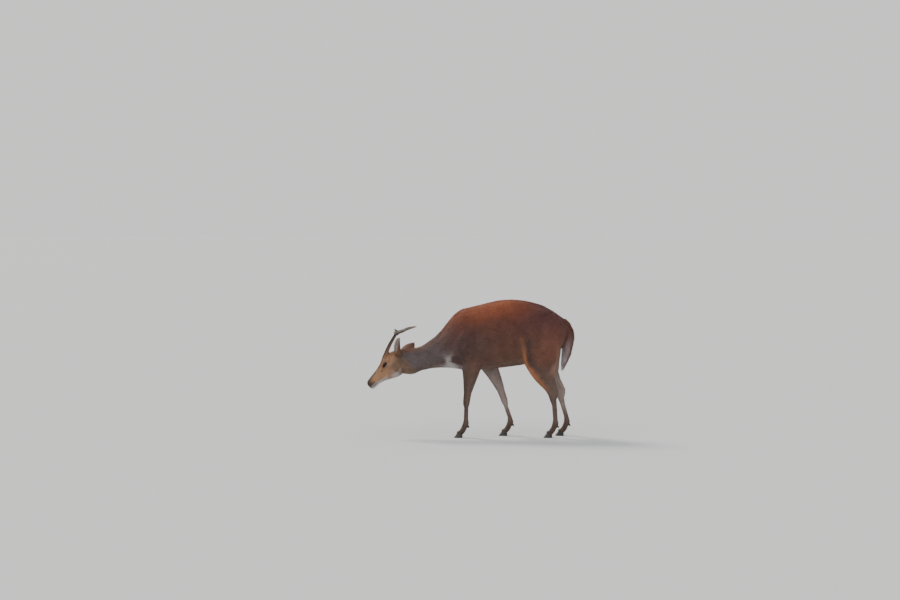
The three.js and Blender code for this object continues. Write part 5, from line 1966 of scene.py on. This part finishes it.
def antlerMaterial():
    material, tree, shader = newMaterial("antlerBone")
    along = attributeNode(tree, "along").outputs["Fac"]
    streaks = noiseNode(tree, 260, (0.2, 1, 1), 5, (0, headSizes["pitch"] * 0.4, 0))
    stain = ranged(tree, noiseNode(tree, 60, detail=4), 0.35, 0.65, 0, 1)
    ridged = ranged(tree, streaks, 0.35, 0.65, 0, 1)
    colour = mixColour(tree, "MIX", ridged, antlerLook["groove"], antlerLook["ridge"])
    stained = mathField(tree, "MULTIPLY", stain, antlerLook["stainShare"])
    colour = mixColour(tree, "MIX", stained, colour, antlerLook["stain"])
    atTip = ranged(tree, along, 0.6, 1.0, 0, antlerLook["tipShare"])
    colour = mixColour(tree, "MIX", atTip, colour, antlerLook["tip"])
    tree.links.new(colour, shader.inputs["Base Color"])
    shader.inputs["Roughness"].default_value = 0.42
    bumpInto(tree, streaks, 0.5, 0.0008, shader)
    return material


antlerBone = antlerMaterial()
for side, sign in sides.items():
    makeAntler(side, sign, antlerBone)
print("eyes and antlers made")


# hooves and dewclaws: the solids rounded, with growth rings and fine striation

hoofLook = {
    "voxel": 0.0010,
    "rounds": 4,
    "ringDepth": 0.00012,
    "ringEvery": 0.0034,
    "dark": (0.012, 0.010, 0.010, 1),
    "pale": (0.048, 0.038, 0.032, 1),
}


def makeHoof(name, material):
    mesh = remeshed(newMesh(name, *nodeShape(name)), name, hoofLook["voxel"])
    keepLargest(mesh)
    places, edges, normals = placesOf(mesh), edgesOf(mesh), normalsOf(mesh)
    low = places[:, 2].min()
    places = spread(places, edges, 0.5, hoofLook["rounds"])
    wall = smoothStep(0.25, 0.6, 1 - np.abs(normals[:, 2]))
    height = places[:, 2] + 0.15 * places[:, 0]
    rings = np.sin(2 * math.pi * height / hoofLook["ringEvery"] + 1.5 * softNoise(places, 80, 5))
    places = places + normals * (wall * hoofLook["ringDepth"] * (rings - 1))[:, None]
    places[:, 2] = np.maximum(places[:, 2], low)
    setPlaces(mesh, places)
    finishPiece("horn_" + name, smoothShaded(mesh), [name], material)


def hoofMaterial():
    material, tree, shader = newMaterial("hoofHorn")
    streaks = noiseNode(tree, 700, (1, 1, 0.1), 4)
    bands = noiseNode(tree, 90, (0.3, 0.3, 2.0), 3)
    fine = ranged(tree, streaks, 0.3, 0.7, 0.2, 1)
    broad = ranged(tree, bands, 0.35, 0.65, 0.2, 1)
    tone = mathField(tree, "MULTIPLY", fine, broad)
    colour = mixColour(tree, "MIX", tone, hoofLook["dark"], hoofLook["pale"])
    tree.links.new(colour, shader.inputs["Base Color"])
    shader.inputs["Roughness"].default_value = 0.45
    bumpInto(tree, streaks, 0.35, 0.0005, shader)
    return material


hoofHorn = hoofMaterial()
for name in nodes:
    if name.startswith(("hoof_", "dewclaw_")):
        makeHoof(name, hoofHorn)
print("hooves made")


# lashes and whiskers: thin curved bars

hairBars = {
    "lashes": 30,
    "lashLength": 0.0085,
    "lashRadius": 0.00014,
    "whiskers": 15,
    "whiskerLength": (0.012, 0.03),
    "whiskerRadius": 0.00009,
    "colour": (0.02, 0.015, 0.013, 1),
}


def bendingBar(start, way, droop, length, radius):
    t = np.linspace(0, 1, 6)[:, None]
    path = start + way * length * t + np.array(droop) * length * t**2
    return tubeShape(path, lambda u, angle: radius * (1 - 0.85 * u), 4, (0.3, 0.2, 1))


def makeLashes(sign, chance):
    bars = []
    ball = headSizes["eyeRadius"]
    eye = np.array(headSizes["eye"]) * [1, sign, 1]
    c, s = math.cos(lidSizes["tilt"]), math.sin(lidSizes["tilt"])
    back, front, roundness = lidSizes["back"] * 0.75, lidSizes["front"] * 0.8, lidSizes["roundness"]
    for i in range(hairBars["lashes"]):
        u = -back + (back + front) * (i + chance.uniform(0, 0.7)) / hairBars["lashes"]
        length = lidSizes["front"] if u > 0 else lidSizes["back"]
        v = lidSizes["upper"] * max(0.0, 1 - (abs(u) / length) ** roundness) ** (1 / roundness) + 0.0004
        x, z = (c * u - s * v) / ball, (s * u + c * v) / ball
        way = np.array([x, sign * math.sqrt(max(0.05, 1 - x * x - z * z)), z])
        start = eye + way * (ball + lidSizes["margin"] * 0.8)
        out = unit(way + np.array([-0.35 + 0.5 * u / length, 0.25 * sign, -0.05]))
        size = hairBars["lashLength"] * chance.uniform(0.75, 1.1)
        points, faces = bendingBar(start, out, (-0.15, 0, -0.28), size, hairBars["lashRadius"])
        bars.append((fromHead(points), faces))
    return bars


def makeWhiskers(sign, chance):
    bars = []
    tree = searchTree(skin.data)
    low, high = hairBars["whiskerLength"]
    for i in range(hairBars["whiskers"]):
        onChin = i % 3 == 0
        x = chance.uniform(0.163, 0.187)
        z = chance.uniform(-0.017, -0.012) if onChin else chance.uniform(-0.001, 0.006)
        start = headSpot((x, 0.05, z), sign)
        place, out = tree.ray_cast(Vector(start), Vector(-headLeft * sign))[:2]
        if place is None:
            continue
        forwards, down = chance.uniform(-0.2, 0.6), chance.uniform(0.2, 0.7)
        way = unit(np.array(out) + headAxes[0] * forwards - headAxes[2] * down)
        length = chance.uniform(low, high)
        bars.append(bendingBar(np.array(place), way, (0, 0, -0.25), length, hairBars["whiskerRadius"]))
    return bars


def makeHairBars():
    chance = np.random.default_rng(31)
    material, _, shader = newMaterial("darkHair")
    shader.inputs["Base Color"].default_value = hairBars["colour"]
    shader.inputs["Roughness"].default_value = 0.5
    for name, make in (("lashes", makeLashes), ("whiskers", makeWhiskers)):
        bars = [bar for sign in sides.values() for bar in make(sign, chance)]
        mesh = smoothShaded(closedMesh(name, *joinShapes(bars)))
        finishPiece(name, mesh, material=material)


makeHairBars()


# stage, light and camera

stageSizes = {
    "floor": 400.0,
    "floorColour": (0.568, 0.579, 0.595, 1),
    "skyColour": (0.985, 0.98, 0.972, 1),
    "sky": 0.95,
    "lens": 85.0,
    "sensor": 36.0,
    "frameWidth": 4.05,
    "tilt": 2.0,
    "aim": (-0.0925, 0.0, 0.6165),
}
lamps = {
    "keyBehind": {"from": (-0.62, 0.62, 0.85), "power": 2.7, "soft": 20, "colour": (1.0, 0.93, 0.84)},
    "fillFront": {"from": (-0.35, -1.0, 0.55), "power": 0.75, "soft": 70, "colour": (0.93, 0.96, 1.0)},
}


def makeStage():
    half = stageSizes["floor"] / 2
    corners = [(-half, -half, 0), (half, -half, 0), (half, half, 0), (-half, half, 0)]
    floor = newObject("floor", newMesh("floor", corners, [(0, 1, 2, 3)]))
    material, _, shader = newMaterial("paleFloor")
    shader.inputs["Base Color"].default_value = stageSizes["floorColour"]
    shader.inputs["Roughness"].default_value = 0.9
    shader.inputs["Specular IOR Level"].default_value = 0.1
    floor.data.materials.append(material)
    world = bpy.data.worlds.new("studio")
    bpy.context.scene.world = world
    world.use_nodes = True
    background = world.node_tree.nodes["Background"]
    background.inputs["Color"].default_value = stageSizes["skyColour"]
    background.inputs["Strength"].default_value = stageSizes["sky"]
    for name, lamp in lamps.items():
        light = bpy.data.lights.new(name, "SUN")
        light.energy = lamp["power"]
        light.angle = math.radians(lamp["soft"])
        light.color = lamp["colour"]
        sun = newObject(name, light)
        sun.rotation_euler = (-Vector(lamp["from"])).to_track_quat("-Z", "Y").to_euler()


def makeCamera():
    data = bpy.data.cameras.new("camera")
    data.lens = stageSizes["lens"]
    data.sensor_width = stageSizes["sensor"]
    camera = newObject("camera", data)
    distance = stageSizes["lens"] / stageSizes["sensor"] * stageSizes["frameWidth"]
    tilt = math.radians(stageSizes["tilt"])
    aim = Vector(stageSizes["aim"])
    camera.location = aim + Vector((0, -math.cos(tilt), math.sin(tilt))) * distance
    camera.rotation_euler = (aim - camera.location).to_track_quat("-Z", "Y").to_euler()
    bpy.context.scene.camera = camera


makeStage()
makeCamera()
